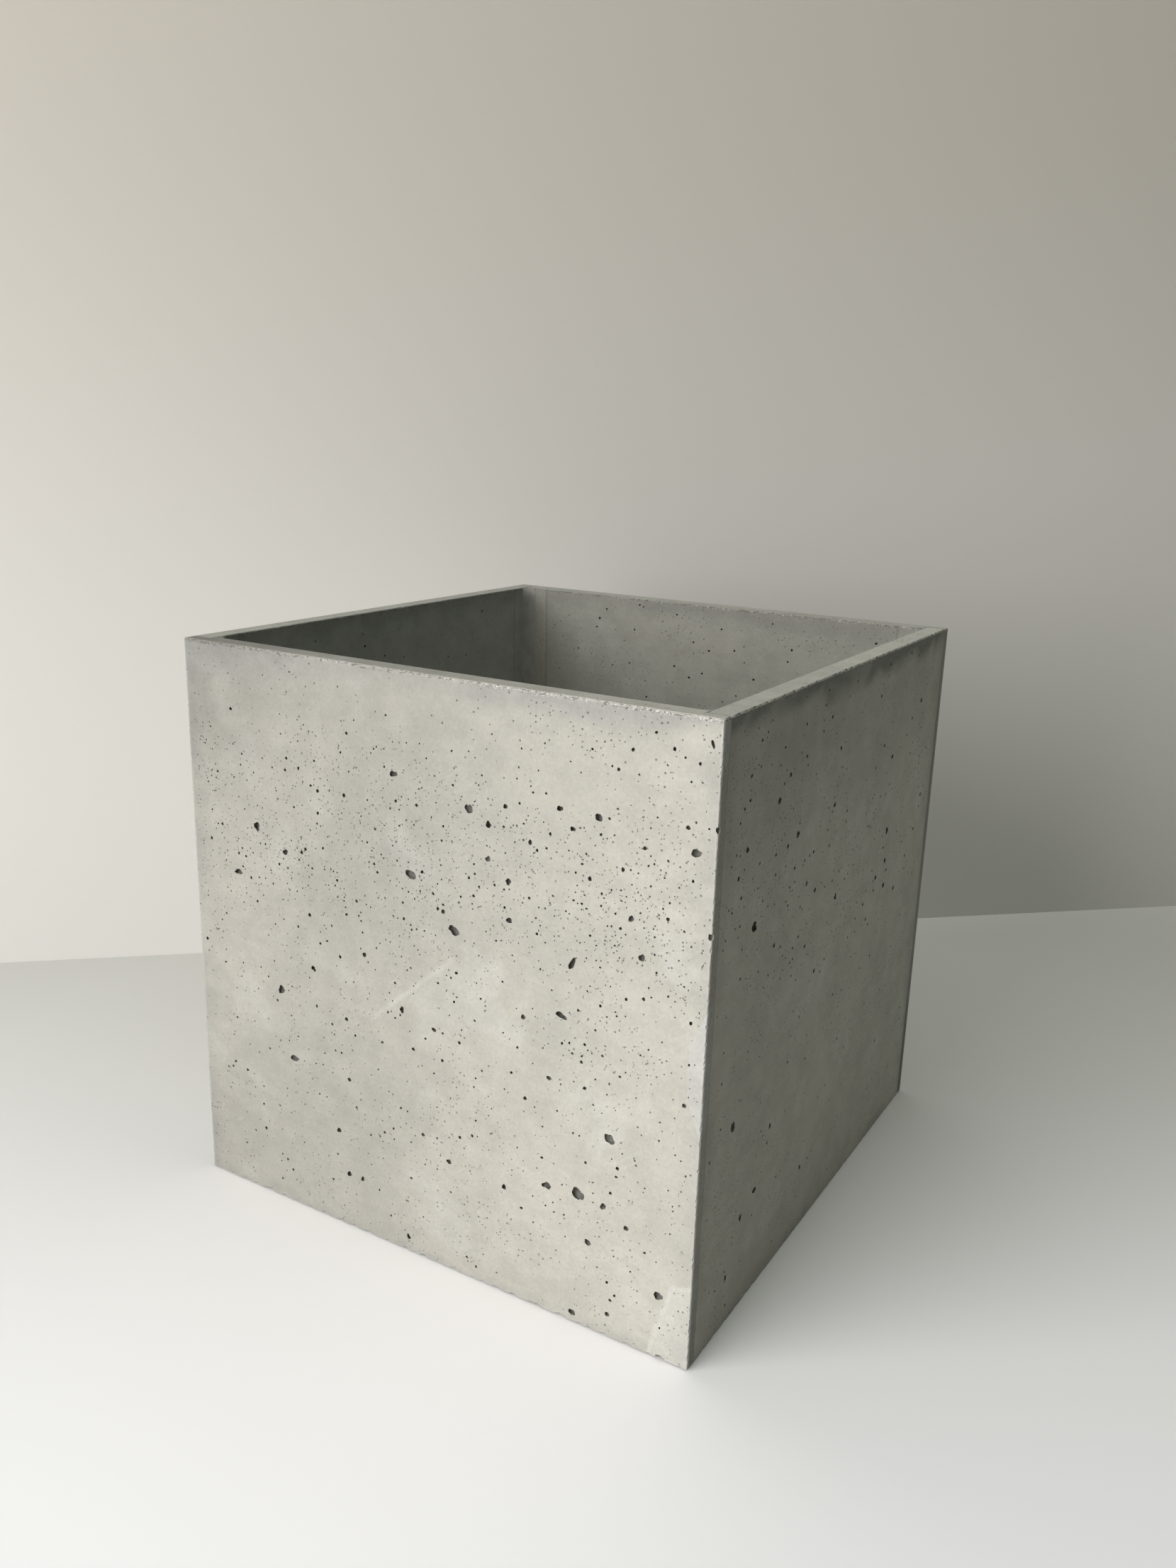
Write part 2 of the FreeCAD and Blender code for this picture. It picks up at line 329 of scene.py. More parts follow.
def hand_over(piece, body, slot, *nodes):
    """Attach a finished piece to the body it rides on, and hide the nodes of the frame that it stands for;
    the slot is not used.
    """
    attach(piece, body)
    if nodes:
        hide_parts(*nodes)
    return piece


# Air holes and chips

HOLE_FORMS = 6
HOLE_ROUGHNESS = 0.13
HOLE_TURN = 0.5
HOLE_SINK_SHARES = (0.12, 0.3)
HOLE_DEPTH_SHARES = (0.9, 1.25)
SMALL_DEPTH_SHARES = (1.3, 1.8)
DEEPEST_HOLE = 3.4 * MM
LARGE_HOLE = 2.1 * MM


def hollow_form(name, steps, rounding, seed):
    """An uneven ball, one across, whose copies are cut out of the concrete."""
    bpy.ops.object.select_all(action="DESELECT")
    bpy.ops.mesh.primitive_ico_sphere_add(subdivisions=steps, radius=0.5)
    ball = settle(name)
    bpy.ops.object.mode_set(mode="EDIT")
    bpy.ops.mesh.select_all(action="SELECT")
    bpy.ops.transform.vertex_random(offset=HOLE_ROUGHNESS, uniform=1.0, normal=0.0, seed=seed)
    bpy.ops.object.mode_set(mode="OBJECT")
    if rounding:
        smooth = ball.modifiers.new("rounding", "SUBSURF")
        smooth.levels = rounding
        smooth.render_levels = rounding
        bpy.ops.object.modifier_apply(modifier=smooth.name)
        ball.scale = [1 / size for size in ball.dimensions]
        bpy.ops.object.transform_apply(location=False, rotation=False, scale=True)
    return ball


def hollow_forms(word, steps, rounding):
    """A few hollow forms of one kind."""
    return [hollow_form(f"{word}_hollow_{number}", steps, rounding, number) for number in range(HOLE_FORMS)]


round_forms = hollow_forms("round", steps=2, rounding=1)
fine_forms = hollow_forms("fine", steps=1, rounding=1)
coarse_forms = hollow_forms("coarse", steps=1, rounding=0)


class Face:
    """A flat face of a slab: the axis it is square to, its level, and the side that is outside."""

    def __init__(self, axis, level, outside, low, high):
        self.axis = axis
        self.level = level
        self.outside = outside
        self.across = {X: Y, Y: X, Z: X}[axis]
        self.up = Y if axis == Z else Z
        self.low = low
        self.high = high

    def point(self, across, up):
        """The point of the face with the given coordinates."""
        return step(self.axis, self.level) + step(self.across, across) + step(self.up, up)

    def holds(self, spot, room):
        """Whether a spot is on the face and keeps that much room to its edges."""
        inside_across = self.low[0] + room < spot[self.across] < self.high[0] - room
        return inside_across and self.low[1] + room < spot[self.up] < self.high[1] - room


class Hole:
    """A hollow to be cut: where, how large and how turned in its face."""

    def __init__(self, spot, wide, tall, chance):
        self.spot = spot
        self.wide = wide
        self.tall = tall
        self.turn = chance.uniform(-HOLE_TURN, HOLE_TURN)
        self.form = chance.randrange(HOLE_FORMS)
        size = min(wide, tall)
        shares = HOLE_DEPTH_SHARES if size > LARGE_HOLE else SMALL_DEPTH_SHARES
        self.deep = min(size * chance.uniform(*shares), DEEPEST_HOLE)
        self.sink = self.deep * chance.uniform(*HOLE_SINK_SHARES)

    @property
    def reach(self):
        """Half of the larger size."""
        return max(self.wide, self.tall) / 2


def hollow(form, columns, middle):
    """A copy of a hollow form, with the given axes and middle."""
    ball = form.copy()
    ball.data = form.data.copy()
    bpy.context.collection.objects.link(ball)
    turn = Matrix(columns).transposed().to_4x4()
    turn.translation = middle
    ball.data.transform(turn)
    if turn.determinant() < 0:
        ball.data.flip_normals()
    return ball


def hole_tool(holes, face, forms):
    """One tool that cuts all the holes of a face."""
    balls = []
    out = step(face.axis, face.outside)
    across = step(face.across, 1)
    up = step(face.up, 1)
    for hole in holes:
        turned_across = across * math.cos(hole.turn) + up * math.sin(hole.turn)
        turned_up = up * math.cos(hole.turn) - across * math.sin(hole.turn)
        columns = (turned_across * hole.wide, turned_up * hole.tall, out * hole.deep)
        balls.append(hollow(forms[hole.form], columns, hole.spot - out * hole.sink))
    return join(balls, "hole_tool")


CLEAR_SHARE = 1.25


def clear_of(spot, reach, holes):
    """Whether a spot keeps clear of the holes so far."""
    return all((spot - hole.spot).length > (reach + hole.reach) * CLEAR_SHARE for hole in holes)


CLUSTER_SHARE = 0.28
CLUSTER_SPREAD = 6 * MM
SCATTER_TRIES = 30
SMALL_LEANING = 2
UNEVEN_SHARES = (0.85, 1.15)
EDGE_ROOM_SHARE = 1.5
REACH_SHARE = 0.6


def scatter(face, count, sizes_mm, density, holes, chance):
    """Add small holes here and there on a face, some of them in clusters."""
    added = []
    for _ in range(count * SCATTER_TRIES):
        if len(added) == count:
            break
        if added and chance.random() < CLUSTER_SHARE:
            near = chance.choice(added).spot
            across = near[face.across] + chance.gauss(0, CLUSTER_SPREAD)
            up = near[face.up] + chance.gauss(0, CLUSTER_SPREAD)
        else:
            across = chance.uniform(face.low[0], face.high[0])
            up = chance.uniform(face.low[1], face.high[1])
        low_size, high_size = sizes_mm
        size = (low_size + (high_size - low_size) * chance.random() ** SMALL_LEANING) * MM
        wide = size * chance.uniform(*UNEVEN_SHARES)
        tall = size * chance.uniform(*UNEVEN_SHARES)
        spot = face.point(across, up)
        if chance.random() > density(across, up):
            continue
        if not face.holds(spot, size * EDGE_ROOM_SHARE):
            continue
        if clear_of(spot, size * REACH_SHARE, holes):
            hole = Hole(spot, wide, tall, chance)
            holes.append(hole)
            added.append(hole)
    return added


LOBED_REACH = 1.5 * MM
SLIM_SHARE = 1.8
LOBE_SHARES = (0.5, 0.7)
LOBE_AWAY_SHARE = 0.36
TALL_SHARES = (0.9, 1.2)


def lobes(holes, face, chance):
    """Smaller hollows that overlap the large ones and make their outlines uneven."""
    extra = []
    for hole in holes:
        if hole.reach < LOBED_REACH or max(hole.wide, hole.tall) > SLIM_SHARE * min(hole.wide, hole.tall):
            continue
        angle = chance.uniform(0, 2 * math.pi)
        share = chance.uniform(*LOBE_SHARES)
        lobe = Hole(hole.spot.copy(), hole.wide * share, hole.tall * share, chance)
        lobe.spot[face.across] += hole.wide * LOBE_AWAY_SHARE * math.cos(angle)
        lobe.spot[face.up] += hole.tall * LOBE_AWAY_SHARE * math.sin(angle)
        extra.append(lobe)
    return extra


def read_holes(face, large, small, chance):
    """The holes that were read from the photograph, on their face."""
    holes = []
    for across, down, wide, tall in large:
        spot = seen_at((across, down), face.axis, face.level)
        holes.append(Hole(spot, wide * MM, tall * MM, chance))
    for pixel in small:
        spot = seen_at(pixel, face.axis, face.level)
        size = chance.uniform(*SMALL_HOLE_MM) * MM
        if clear_of(spot, size / 2, holes):
            holes.append(Hole(spot, size, size * chance.uniform(*TALL_SHARES), chance))
    return holes


def pit(piece, face, large, small, counts, density, seed):
    """Cut the air holes of a face: those that were read, and large, small and tiny ones besides."""
    chance = random.Random(seed)
    holes = read_holes(face, large, small, chance)
    large_count, small_count, tiny_count = counts
    scatter(face, large_count, LARGE_HOLE_MM, density, holes, chance)
    scatter(face, small_count, SMALL_HOLE_MM, density, holes, chance)
    sized = list(holes)
    tiny = scatter(face, tiny_count, TINY_HOLE_MM, density, holes, chance)
    extra = lobes(sized, face, chance)
    tools = [
        ([hole for hole in sized if 2 * hole.reach >= LARGE_HOLE], round_forms),
        ([hole for hole in sized if 2 * hole.reach < LARGE_HOLE], fine_forms),
        (tiny, coarse_forms),
        (extra, round_forms),
    ]
    for group, forms in tools:
        if group:
            cut(piece, hole_tool(group, face, forms))


# Chips, as ranges of length, depth and gap in millimetres
UPRIGHT_CHIPS_MM = ((0.8, 3.4), (0.25, 0.6), (0.4, 6))
FOOT_CHIPS_MM = ((2, 9), (0.3, 0.9), (0.5, 8))
CREST_CHIPS_MM = ((0.7, 2.2), (0.42, 0.66), (0.2, 2.4))
SIDE_CREST_CHIPS_MM = ((1, 5), (0.45, 0.8), (1, 9))
INNER_CHIPS_MM = ((1, 5), (0.25, 0.6), (3, 16))
CHIP_END = 1 * MM
INNER_END = 8 * MM
LEAN_SHARES = (0.25, 0.75)
CHIP_DEPTH_SHARE = 3.2
CHIP_LENGTH_SHARE = 0.5


def chip(piece, start, finish, outs, chips_mm, seed):
    """Break chips out of an edge that runs between two points and lies between two outward directions."""
    lengths_mm, depths_mm, gaps_mm = chips_mm
    chance = random.Random(seed)
    along = (finish - start).normalized()
    first, second = (Vector(out) for out in outs)
    total = (finish - start).length
    place = chance.uniform(*gaps_mm) * MM
    balls = []
    while True:
        length = chance.uniform(*lengths_mm) * MM
        depth = chance.uniform(*depths_mm) * MM
        place += length / 2
        if place + length / 2 > total:
            break
        lean = chance.uniform(*LEAN_SHARES)
        out = (first * lean + second * (1 - lean)).normalized()
        other = along.cross(out)
        wide = max(depth * CHIP_DEPTH_SHARE, length * CHIP_LENGTH_SHARE)
        middle = start + along * place + out * (wide / 2 - depth)
        form = chance.choice(round_forms if length > LARGE_HOLE else fine_forms)
        balls.append(hollow(form, (along * length, other * wide, out * wide), middle))
        place += length / 2 + chance.uniform(*gaps_mm) * MM
    if balls:
        cut(piece, join(balls, "chip_tool"))


# The five cast slabs

ARRIS = 0.8 * MM
UPRIGHT_ARRIS = 0.35 * MM
ARRIS_STEPS = 3
INNER_ARRIS = 0.4 * MM
INNER_STEPS = 2
OVERRUN = 1 * MM
LAP_X = BASE_X + BOND
LAP_Y = BASE_Y + BOND
ROUND_SIDES = 96
SLEEVE_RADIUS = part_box("drain_sleeve")[1].x
DRAIN_CLEARANCE = 5 * MM
DRAIN_ROOM = SLEEVE_RADIUS + DRAIN_CLEARANCE
pad_low, pad_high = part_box("foot_pad_rear_right")
PAD_X = (pad_low.x + pad_high.x) / 2
PAD_Y = (pad_low.y + pad_high.y) / 2
PAD_RADIUS = (pad_high.x - pad_low.x) / 2
PAD_TOP = pad_high.z
PAD_CLEARANCE = 0.3 * MM
PAD_HOLE_CLEARANCE = 3 * MM
PAD_ROOM = PAD_RADIUS + PAD_HOLE_CLEARANCE

# How the chance of a hole goes with its level: middles, spreads, and the share it starts from and grows by
EVEN_SHARE = 0.8
FRONT_BAND = (0.205, 0.065)
FRONT_FOOT = (0.045, 0.01)
FRONT_TOP = (0.268, 0.006)
RIGHT_BAND = (0.2, 0.07)
FRONT_BAND_SHARES = (0.5, 0.5)
FRONT_FOOT_SHARES = (0.5, 0.5)
FRONT_TOP_SHARES = (0.2, 0.8)
RIGHT_BAND_SHARES = (0.45, 0.5)


def bell(value, middle, spread):
    """A hump, one high, round a middle."""
    return math.exp(-((value - middle) / spread) ** 2)


def soft_step(distance, softness):
    """A soft step from 0, well below nought, to 1, well above it."""
    return 1 / (1 + math.exp(-distance / softness))


def grown(shares, value):
    """The first share, grown by the second times a value."""
    return shares[0] + shares[1] * value


def even(across, up):
    """The same chance of a hole everywhere."""
    return EVEN_SHARE


def front_density(across, up):
    """More holes in a wide band above the middle of the front, fewer towards its top and its foot."""
    foot_level, foot_softness = FRONT_FOOT
    top_level, top_softness = FRONT_TOP
    band = bell(up, *FRONT_BAND)
    foot = soft_step(up - foot_level, foot_softness)
    top = soft_step(top_level - up, top_softness)
    return grown(FRONT_BAND_SHARES, band) * grown(FRONT_FOOT_SHARES, foot) * grown(FRONT_TOP_SHARES, top)


def right_density(across, up):
    """More holes in the upper half of the right side."""
    return grown(RIGHT_BAND_SHARES, bell(up, *RIGHT_BAND))


def cut_base_seat(slab):
    """The rebate round the foot of the walls that takes the base slab and its bond."""
    low = (-LAP_X, -LAP_Y, FOOT - OVERRUN)
    high = (LAP_X, LAP_Y, FLOOR + BOND)
    cut(slab, block("seat_tool", low, high))


def end_slab(side, name):
    """The front or rear slab, as wide as the planter, with its inner face rebated at both ends."""
    outer = side * OUT_Y
    inner = side * IN_Y
    slab = block(name, (-OUT_X, min(outer, inner), FOOT), (OUT_X, max(outer, inner), RIM))
    for end in ENDS.values():
        low = (end * (IN_X - BOND), side * (IN_Y - OVERRUN), FOOT - OVERRUN)
        high = (end * (OUT_X + OVERRUN), side * LAP_Y, RIM + OVERRUN)
        cut(slab, block("lap_tool", *sorted_corners(low, high)))
    cut_base_seat(slab)
    clean(slab)
    rim = (Z, RIM)
    face = (Y, outer)
    ends = [(X, -OUT_X), (X, OUT_X)]
    ease(slab, ARRIS, ARRIS_STEPS, [(face, rim)] + [(end, rim) for end in ends])
    ease(slab, UPRIGHT_ARRIS, ARRIS_STEPS, [(face, end) for end in ends])
    ease(slab, INNER_ARRIS, INNER_STEPS, [((Y, inner), rim)])
    divide(slab, (X, Z))
    return slab


def side_slab(side, name):
    """The left or right slab, whose plain ends sit in the rebates of the end slabs."""
    outer = side * OUT_X
    inner = side * IN_X
    slab = block(name, (min(outer, inner), -SIDE_REACH, FOOT), (max(outer, inner), SIDE_REACH, RIM))
    cut_base_seat(slab)
    clean(slab)
    ease(slab, ARRIS, ARRIS_STEPS, [((X, outer), (Z, RIM))])
    ease(slab, INNER_ARRIS, INNER_STEPS, [((X, inner), (Z, RIM))])
    divide(slab, (Y, Z))
    return slab


# What two opposite slabs share: how they are built, their sides by name, the axis they are square to,
# the levels of their outer and inner faces, how far those reach to either side, and their crest's chips
Wall = namedtuple("Wall", "build sides axis outer inner reach inner_reach crest_chips_mm")
END_WALL = Wall(end_slab, FACES, Y, OUT_Y, IN_Y, OUT_X, IN_X, CREST_CHIPS_MM)
SIDE_WALL = Wall(side_slab, ENDS, X, OUT_X, IN_X, SIDE_REACH, IN_Y, SIDE_CREST_CHIPS_MM)


def chip_uprights(slab, side, seed):
    """Wear along the upright arrises of the front or rear slab."""
    for end in ENDS.values():
        start = Vector((end * OUT_X, side * OUT_Y, FOOT + CHIP_END))
        finish = Vector((end * OUT_X, side * OUT_Y, RIM - CHIP_END))
        chip(slab, start, finish, ((0, side, 0), (end, 0, 0)), UPRIGHT_CHIPS_MM, seed + end + 1)


def chip_level_edges(slab, wall, side, seed):
    """Wear along the foot, the crest and the inner edge of the rim of a wall slab."""
    along = X if wall.axis == Y else Y
    out = step(wall.axis, side)
    up = step(Z, 1)
    edges = (
        (wall.outer, wall.reach - CHIP_END, FOOT, (out, -up), FOOT_CHIPS_MM),
        (wall.outer, wall.reach - CHIP_END, RIM, (out, up), wall.crest_chips_mm),
        (wall.inner, wall.inner_reach - INNER_END, RIM, (-out, up), INNER_CHIPS_MM),
    )
    for number, (level, reach, height, outs, chips_mm) in enumerate(edges):
        middle = step(wall.axis, side * level) + step(Z, height)
        chip(slab, middle - step(along, reach), middle + step(along, reach), outs, chips_mm, seed + number)


# Counts of large, small and tiny holes that are scattered over a face, and the seeds of the slabs
FRONT_COUNTS = (0, 350, 1150)
RIGHT_COUNTS = (0, 460, 420)
REAR_COUNTS = (34, 90, 520)
LEFT_COUNTS = (28, 80, 460)
INNER_COUNTS = (0, 22, 90)
FLOOR_COUNTS = (4, 20, 130)
UNDERSIDE_COUNTS = (3, 14, 90)
FRONT_SEED = 100
RIGHT_SEED = 201
REAR_SEED = 300
LEFT_SEED = 400
FLOOR_SEED = 500
UNDERSIDE_SEED = 510
COVE_SEED = 600
CHIP_SEED_STEP = 10
UPRIGHT_SEED_STEP = 3
EDGE_ROOM = 1.5 * MM
INNER_ROOM = 8 * MM


def make_slab(word, wall, large, small, inner_holes, counts, density, seed):
    """A wall slab with its air holes and its wear."""
    side = wall.sides[word]
    slab = wall.build(side, f"{word}_slab_cast")
    low = (-wall.reach + EDGE_ROOM, FOOT + EDGE_ROOM)
    high = (wall.reach - EDGE_ROOM, RIM - EDGE_ROOM)
    outside = Face(wall.axis, side * wall.outer, side, low, high)
    pit(slab, outside, large, small, counts, density, seed)
    low = (-wall.inner_reach + INNER_ROOM, FLOOR + INNER_ROOM)
    high = (wall.inner_reach - INNER_ROOM, RIM - EDGE_ROOM)
    inside = Face(wall.axis, side * wall.inner, -side, low, high)
    pit(slab, inside, (), inner_holes, INNER_COUNTS, even, seed + 1)
    chip_seed = seed + CHIP_SEED_STEP
    if wall is END_WALL:
        chip_uprights(slab, side, chip_seed)
        chip_seed += UPRIGHT_SEED_STEP
    chip_level_edges(slab, wall, side, chip_seed)
    shade_cast(slab)
    return hand_over(slab, "planter", "concrete", f"{word}_slab")


front = make_slab(
    "front", END_WALL, FRONT_LARGE_HOLES + FRONT_EDGE_HOLES, FRONT_SMALL_HOLES, (), FRONT_COUNTS,
    front_density, FRONT_SEED)
right = make_slab(
    "right", SIDE_WALL, RIGHT_LARGE_HOLES, RIGHT_SMALL_HOLES, (), RIGHT_COUNTS, right_density, RIGHT_SEED)
rear = make_slab("rear", END_WALL, (), (), INNER_REAR_HOLES, REAR_COUNTS, even, REAR_SEED)
left = make_slab("left", SIDE_WALL, (), (), INNER_LEFT_HOLES, LEFT_COUNTS, even, LEFT_SEED)


def round_tool(radius, low, high, middle=(0, 0)):
    """An upright cylinder to cut with."""
    bpy.ops.object.select_all(action="DESELECT")
    place = (*middle, (low + high) / 2)
    bpy.ops.mesh.primitive_cylinder_add(
        vertices=ROUND_SIDES, radius=radius, depth=high - low, location=place)
    return settle("round_tool")


def pit_base(slab):
    """Air holes in both faces of the base, clear of the drain and the pads."""
    low = (-BASE_X + INNER_ROOM, -BASE_Y + INNER_ROOM)
    high = (BASE_X - INNER_ROOM, BASE_Y - INNER_ROOM)

    def off_drain(across, up):
        """No hole beside the drain."""
        return EVEN_SHARE if math.hypot(across, up) > DRAIN_ROOM else 0

    def off_pads(across, up):
        """No hole beside a pad or the drain."""
        near_pad = math.hypot(abs(across) - PAD_X, abs(up) - PAD_Y) < PAD_ROOM
        return 0 if near_pad else off_drain(across, up)

    pit(slab, Face(Z, FLOOR, 1, low, high), (), (), FLOOR_COUNTS, off_drain, FLOOR_SEED)
    pit(slab, Face(Z, FOOT, -1, low, high), (), (), UNDERSIDE_COUNTS, off_pads, UNDERSIDE_SEED)


def make_base_slab():
    """The floor of the planter, with the hole for the drain sleeve and the pockets for the pads."""
    slab = block("base_slab_cast", (-BASE_X, -BASE_Y, FOOT), (BASE_X, BASE_Y, FLOOR))
    cut(slab, round_tool(SLEEVE_RADIUS, FOOT - OVERRUN, FLOOR + OVERRUN))
    for face, end in CORNERS:
        middle = (ENDS[end] * PAD_X, FACES[face] * PAD_Y)
        cut(slab, round_tool(PAD_RADIUS + PAD_CLEARANCE, FOOT - OVERRUN, PAD_TOP, middle))
    clean(slab)
    sides = [(X, BASE_X), (X, -BASE_X), (Y, BASE_Y), (Y, -BASE_Y)]
    ease(slab, INNER_ARRIS, INNER_STEPS, [(side, (Z, FOOT)) for side in sides])
    divide(slab, (X, Y))
    pit_base(slab)
    shade_cast(slab)
    return hand_over(slab, "planter", "concrete", "base_slab")


base = make_base_slab()

# Mortar coves in the upright corners, drawn by hand with a round tool

COVE_LEG = 6 * MM
COVE_STOCK = 6.4 * MM
COVE_HOLLOW = 0.8 * MM
COVE_STEPS = 36
COVE_DRIFT = 0.05 * MM
COVE_BELOW_RIM = 0.2 * MM
cove_chord = COVE_LEG * math.sqrt(2)
COVE_RADIUS = cove_chord ** 2 / (8 * COVE_HOLLOW) + COVE_HOLLOW / 2
COVE_CENTRE = COVE_LEG / 2 + (COVE_RADIUS - COVE_HOLLOW) / math.sqrt(2)


def drawn_rod(radius, middle, low, high, chance):
    """An upright rod that drifts from side to side, as a tool drawn by hand does."""
    bpy.ops.object.select_all(action="DESELECT")
    bpy.ops.mesh.primitive_circle_add(
        vertices=ROUND_SIDES, radius=radius, fill_type="NGON", location=(*middle, low))
    rod = settle("drawn_rod")
    bpy.ops.object.mode_set(mode="EDIT")
    bpy.ops.mesh.select_all(action="SELECT")
    for _ in range(COVE_STEPS):
        drift = [chance.uniform(-COVE_DRIFT, COVE_DRIFT) for _ in (X, Y)]
        move = (*drift, (high - low) / COVE_STEPS)
        bpy.ops.mesh.extrude_region_move(TRANSFORM_OT_translate={"value": move})
    bpy.ops.object.mode_set(mode="OBJECT")
    clean(rod)
    return rod


def make_cove(face, end, seed):
    """The fillet of mortar up an inner corner."""
    side_x = ENDS[end]
    side_y = FACES[face]
    corner = (side_x * IN_X, side_y * IN_Y, FLOOR)
    far = (side_x * (IN_X - COVE_STOCK), side_y * (IN_Y - COVE_STOCK), RIM - COVE_BELOW_RIM)
    cove = block(f"corner_cove_{face}_{end}_drawn", *sorted_corners(corner, far))
    middle = (side_x * (IN_X - COVE_CENTRE), side_y * (IN_Y - COVE_CENTRE))
    cut(cove, drawn_rod(COVE_RADIUS, middle, FLOOR - OVERRUN, RIM + OVERRUN, random.Random(seed)))
    shade_cast(cove)
    return hand_over(cove, "planter", "mortar", f"corner_cove_{face}_{end}")


coves = [make_cove(face, end, COVE_SEED + number) for number, (face, end) in enumerate(CORNERS)]

# The drain and the foot pads

PLUG_SIDES = 96
PLUG_BEVEL = 0.45 * MM
PLUG_SECTIONS_MM = (
    (10.2, 6.8), (11.0, 7.6), (11.35, 10.4), (10.9, 10.7), (10.9, 11.5), (11.5, 11.8), (12.2, 15.8),
    (18.5, 15.8), (18.5, 17.4), (17.2, 18.6), (6.6, 18.8), (4.9, 19.3), (4.5, 20.4), (4.5, 23.8),
    (7.5, 23.8), (7.5, 27.4), (6.6, 28.3), (4.0, 28.0),
)
FLUTES = 18
FLUTE_RADIUS = 0.8 * MM
FLUTE_RING = 7.9 * MM
FLUTE_SIDES = 16
FLUTE_LENGTH = 8 * MM
FLUTE_LEVEL = 25.6 * MM
SLEEVE_BEVEL = 0.15 * MM
BORE_BEVEL = 0.3 * MM
BORE_SECTIONS_MM = ((14.0, 0.3), (13.4, 0.8), (12.5, 1.7), (12.5, 14.9), (13.3, 15.8), (13.9, 16.3))
PAD_SIDES = 64
PAD_BEVEL = 0.22 * MM
PAD_SECTIONS_MM = (
    (5.5, 0), (5.5, 0.45), (7.0, 0.45), (7.0, 0), (9.0, 0), (9.0, 0.45), (10.3, 0.45), (10.3, 0), (12.0, 0),
    (12.0, 2.5),
)
SHARP_ANGLE = math.radians(50)
SMOOTH_ANGLE = math.radians(32)
BEVEL_STEPS = 3


def turned(name, sections_mm, sides, bevel, middle=(0, 0)):
    """A round piece, drawn up from a disc through its sections, given as radius and level, and eased."""
    bpy.ops.object.select_all(action="DESELECT")
    radius, level = (value * MM for value in sections_mm[0])
    bpy.ops.mesh.primitive_circle_add(
        vertices=sides, radius=radius, fill_type="NGON", location=(*middle, level))
    piece = settle(name)
    bpy.ops.object.mode_set(mode="EDIT")
    bpy.ops.mesh.select_all(action="SELECT")
    for next_radius, next_level in sections_mm[1:]:
        lift = next_level * MM - level
        level = next_level * MM
        bpy.ops.mesh.extrude_region_move(TRANSFORM_OT_translate={"value": (0, 0, lift)})
        ratio = next_radius * MM / radius
        radius = next_radius * MM
        bpy.ops.transform.resize(value=(ratio, ratio, 1), center_override=(*middle, level))
    bpy.ops.mesh.select_all(action="DESELECT")
    bpy.ops.mesh.select_mode(type="EDGE")
    bpy.ops.mesh.edges_select_sharp(sharpness=SHARP_ANGLE)
    bpy.ops.mesh.bevel(offset=bevel, offset_type="OFFSET", segments=BEVEL_STEPS, affect="EDGES")
    bpy.ops.object.mode_set(mode="OBJECT")
    clean(piece)
    return piece


def shade_round(piece):
    """Smooth shading, broken at the sharp edges."""
    only(piece)
    bpy.ops.object.shade_smooth_by_angle(angle=SMOOTH_ANGLE)


def make_sleeve():
    """The plastic tube cast into the base."""
    top = FLOOR / MM
    foot = FOOT / MM
    radius = SLEEVE_RADIUS / MM
    sleeve = turned("drain_sleeve_moulded", ((radius, foot), (radius, top)), PLUG_SIDES, SLEEVE_BEVEL)
    bore = turned("bore_tool", BORE_SECTIONS_MM, PLUG_SIDES, BORE_BEVEL)
    cut(sleeve, bore)
    clean(sleeve)
    shade_round(sleeve)
    return hand_over(sleeve, "planter", "sleeve_plastic", "drain_sleeve")


def make_plug():
    """The rubber plug, with a fluted knob to pull it by."""
    plug = turned("drain_plug_moulded", PLUG_SECTIONS_MM, PLUG_SIDES, PLUG_BEVEL)
    flutes = []
    for number in range(FLUTES):
        angle = 2 * math.pi * number / FLUTES
        middle = (FLUTE_RING * math.cos(angle), FLUTE_RING * math.sin(angle))
        bpy.ops.object.select_all(action="DESELECT")
        bpy.ops.mesh.primitive_cylinder_add(
            vertices=FLUTE_SIDES, radius=FLUTE_RADIUS, depth=FLUTE_LENGTH, location=(*middle, FLUTE_LEVEL))
        flutes.append(bpy.context.object)
    cut(plug, join(flutes, "flute_tool"))
    clean(plug)
    shade_round(plug)
    return hand_over(plug, "plug", "plug_rubber", "drain_plug")


def make_pad(face, end):
    """A round rubber foot with two grooves in its tread."""
    middle = (ENDS[end] * PAD_X, FACES[face] * PAD_Y)
    pad = turned(f"foot_pad_{face}_{end}_moulded", PAD_SECTIONS_MM, PAD_SIDES, PAD_BEVEL, middle)
    shade_round(pad)
    return hand_over(pad, "planter", "pad_rubber", f"foot_pad_{face}_{end}")


sleeve = make_sleeve()
plug = make_plug()
pads = [make_pad(face, end) for face, end in CORNERS]


# Finishes

class Wire:
    """A node's output, which takes part in sums as a number would."""

    def __init__(self, finish, socket):
        self.finish = finish
        self.socket = socket

    def other(self, output):
        """Another output of the same node."""
        return Wire(self.finish, self.socket.node.outputs[output])

    def sum(self, operation, *terms):
        """The outcome of an operation on the given terms."""
        return self.finish.node("ShaderNodeMath", {"operation": operation}, dict(enumerate(terms)))

    def __add__(self, term):
        return self.sum("ADD", self, term)

    __radd__ = __add__

    def __sub__(self, term):
        return self.sum("SUBTRACT", self, term)

    def __rsub__(self, term):
        return self.sum("SUBTRACT", term, self)

    def __mul__(self, term):
        return self.sum("MULTIPLY", self, term)

    __rmul__ = __mul__

    def __abs__(self):
        return self.sum("ABSOLUTE", self)

    def __gt__(self, term):
        return self.sum("GREATER_THAN", self, term)

    def least(self, term):
        """The smaller of the two."""
        return self.sum("MINIMUM", self, term)

    def most(self, term):
        """The larger of the two."""
        return self.sum("MAXIMUM", self, term)


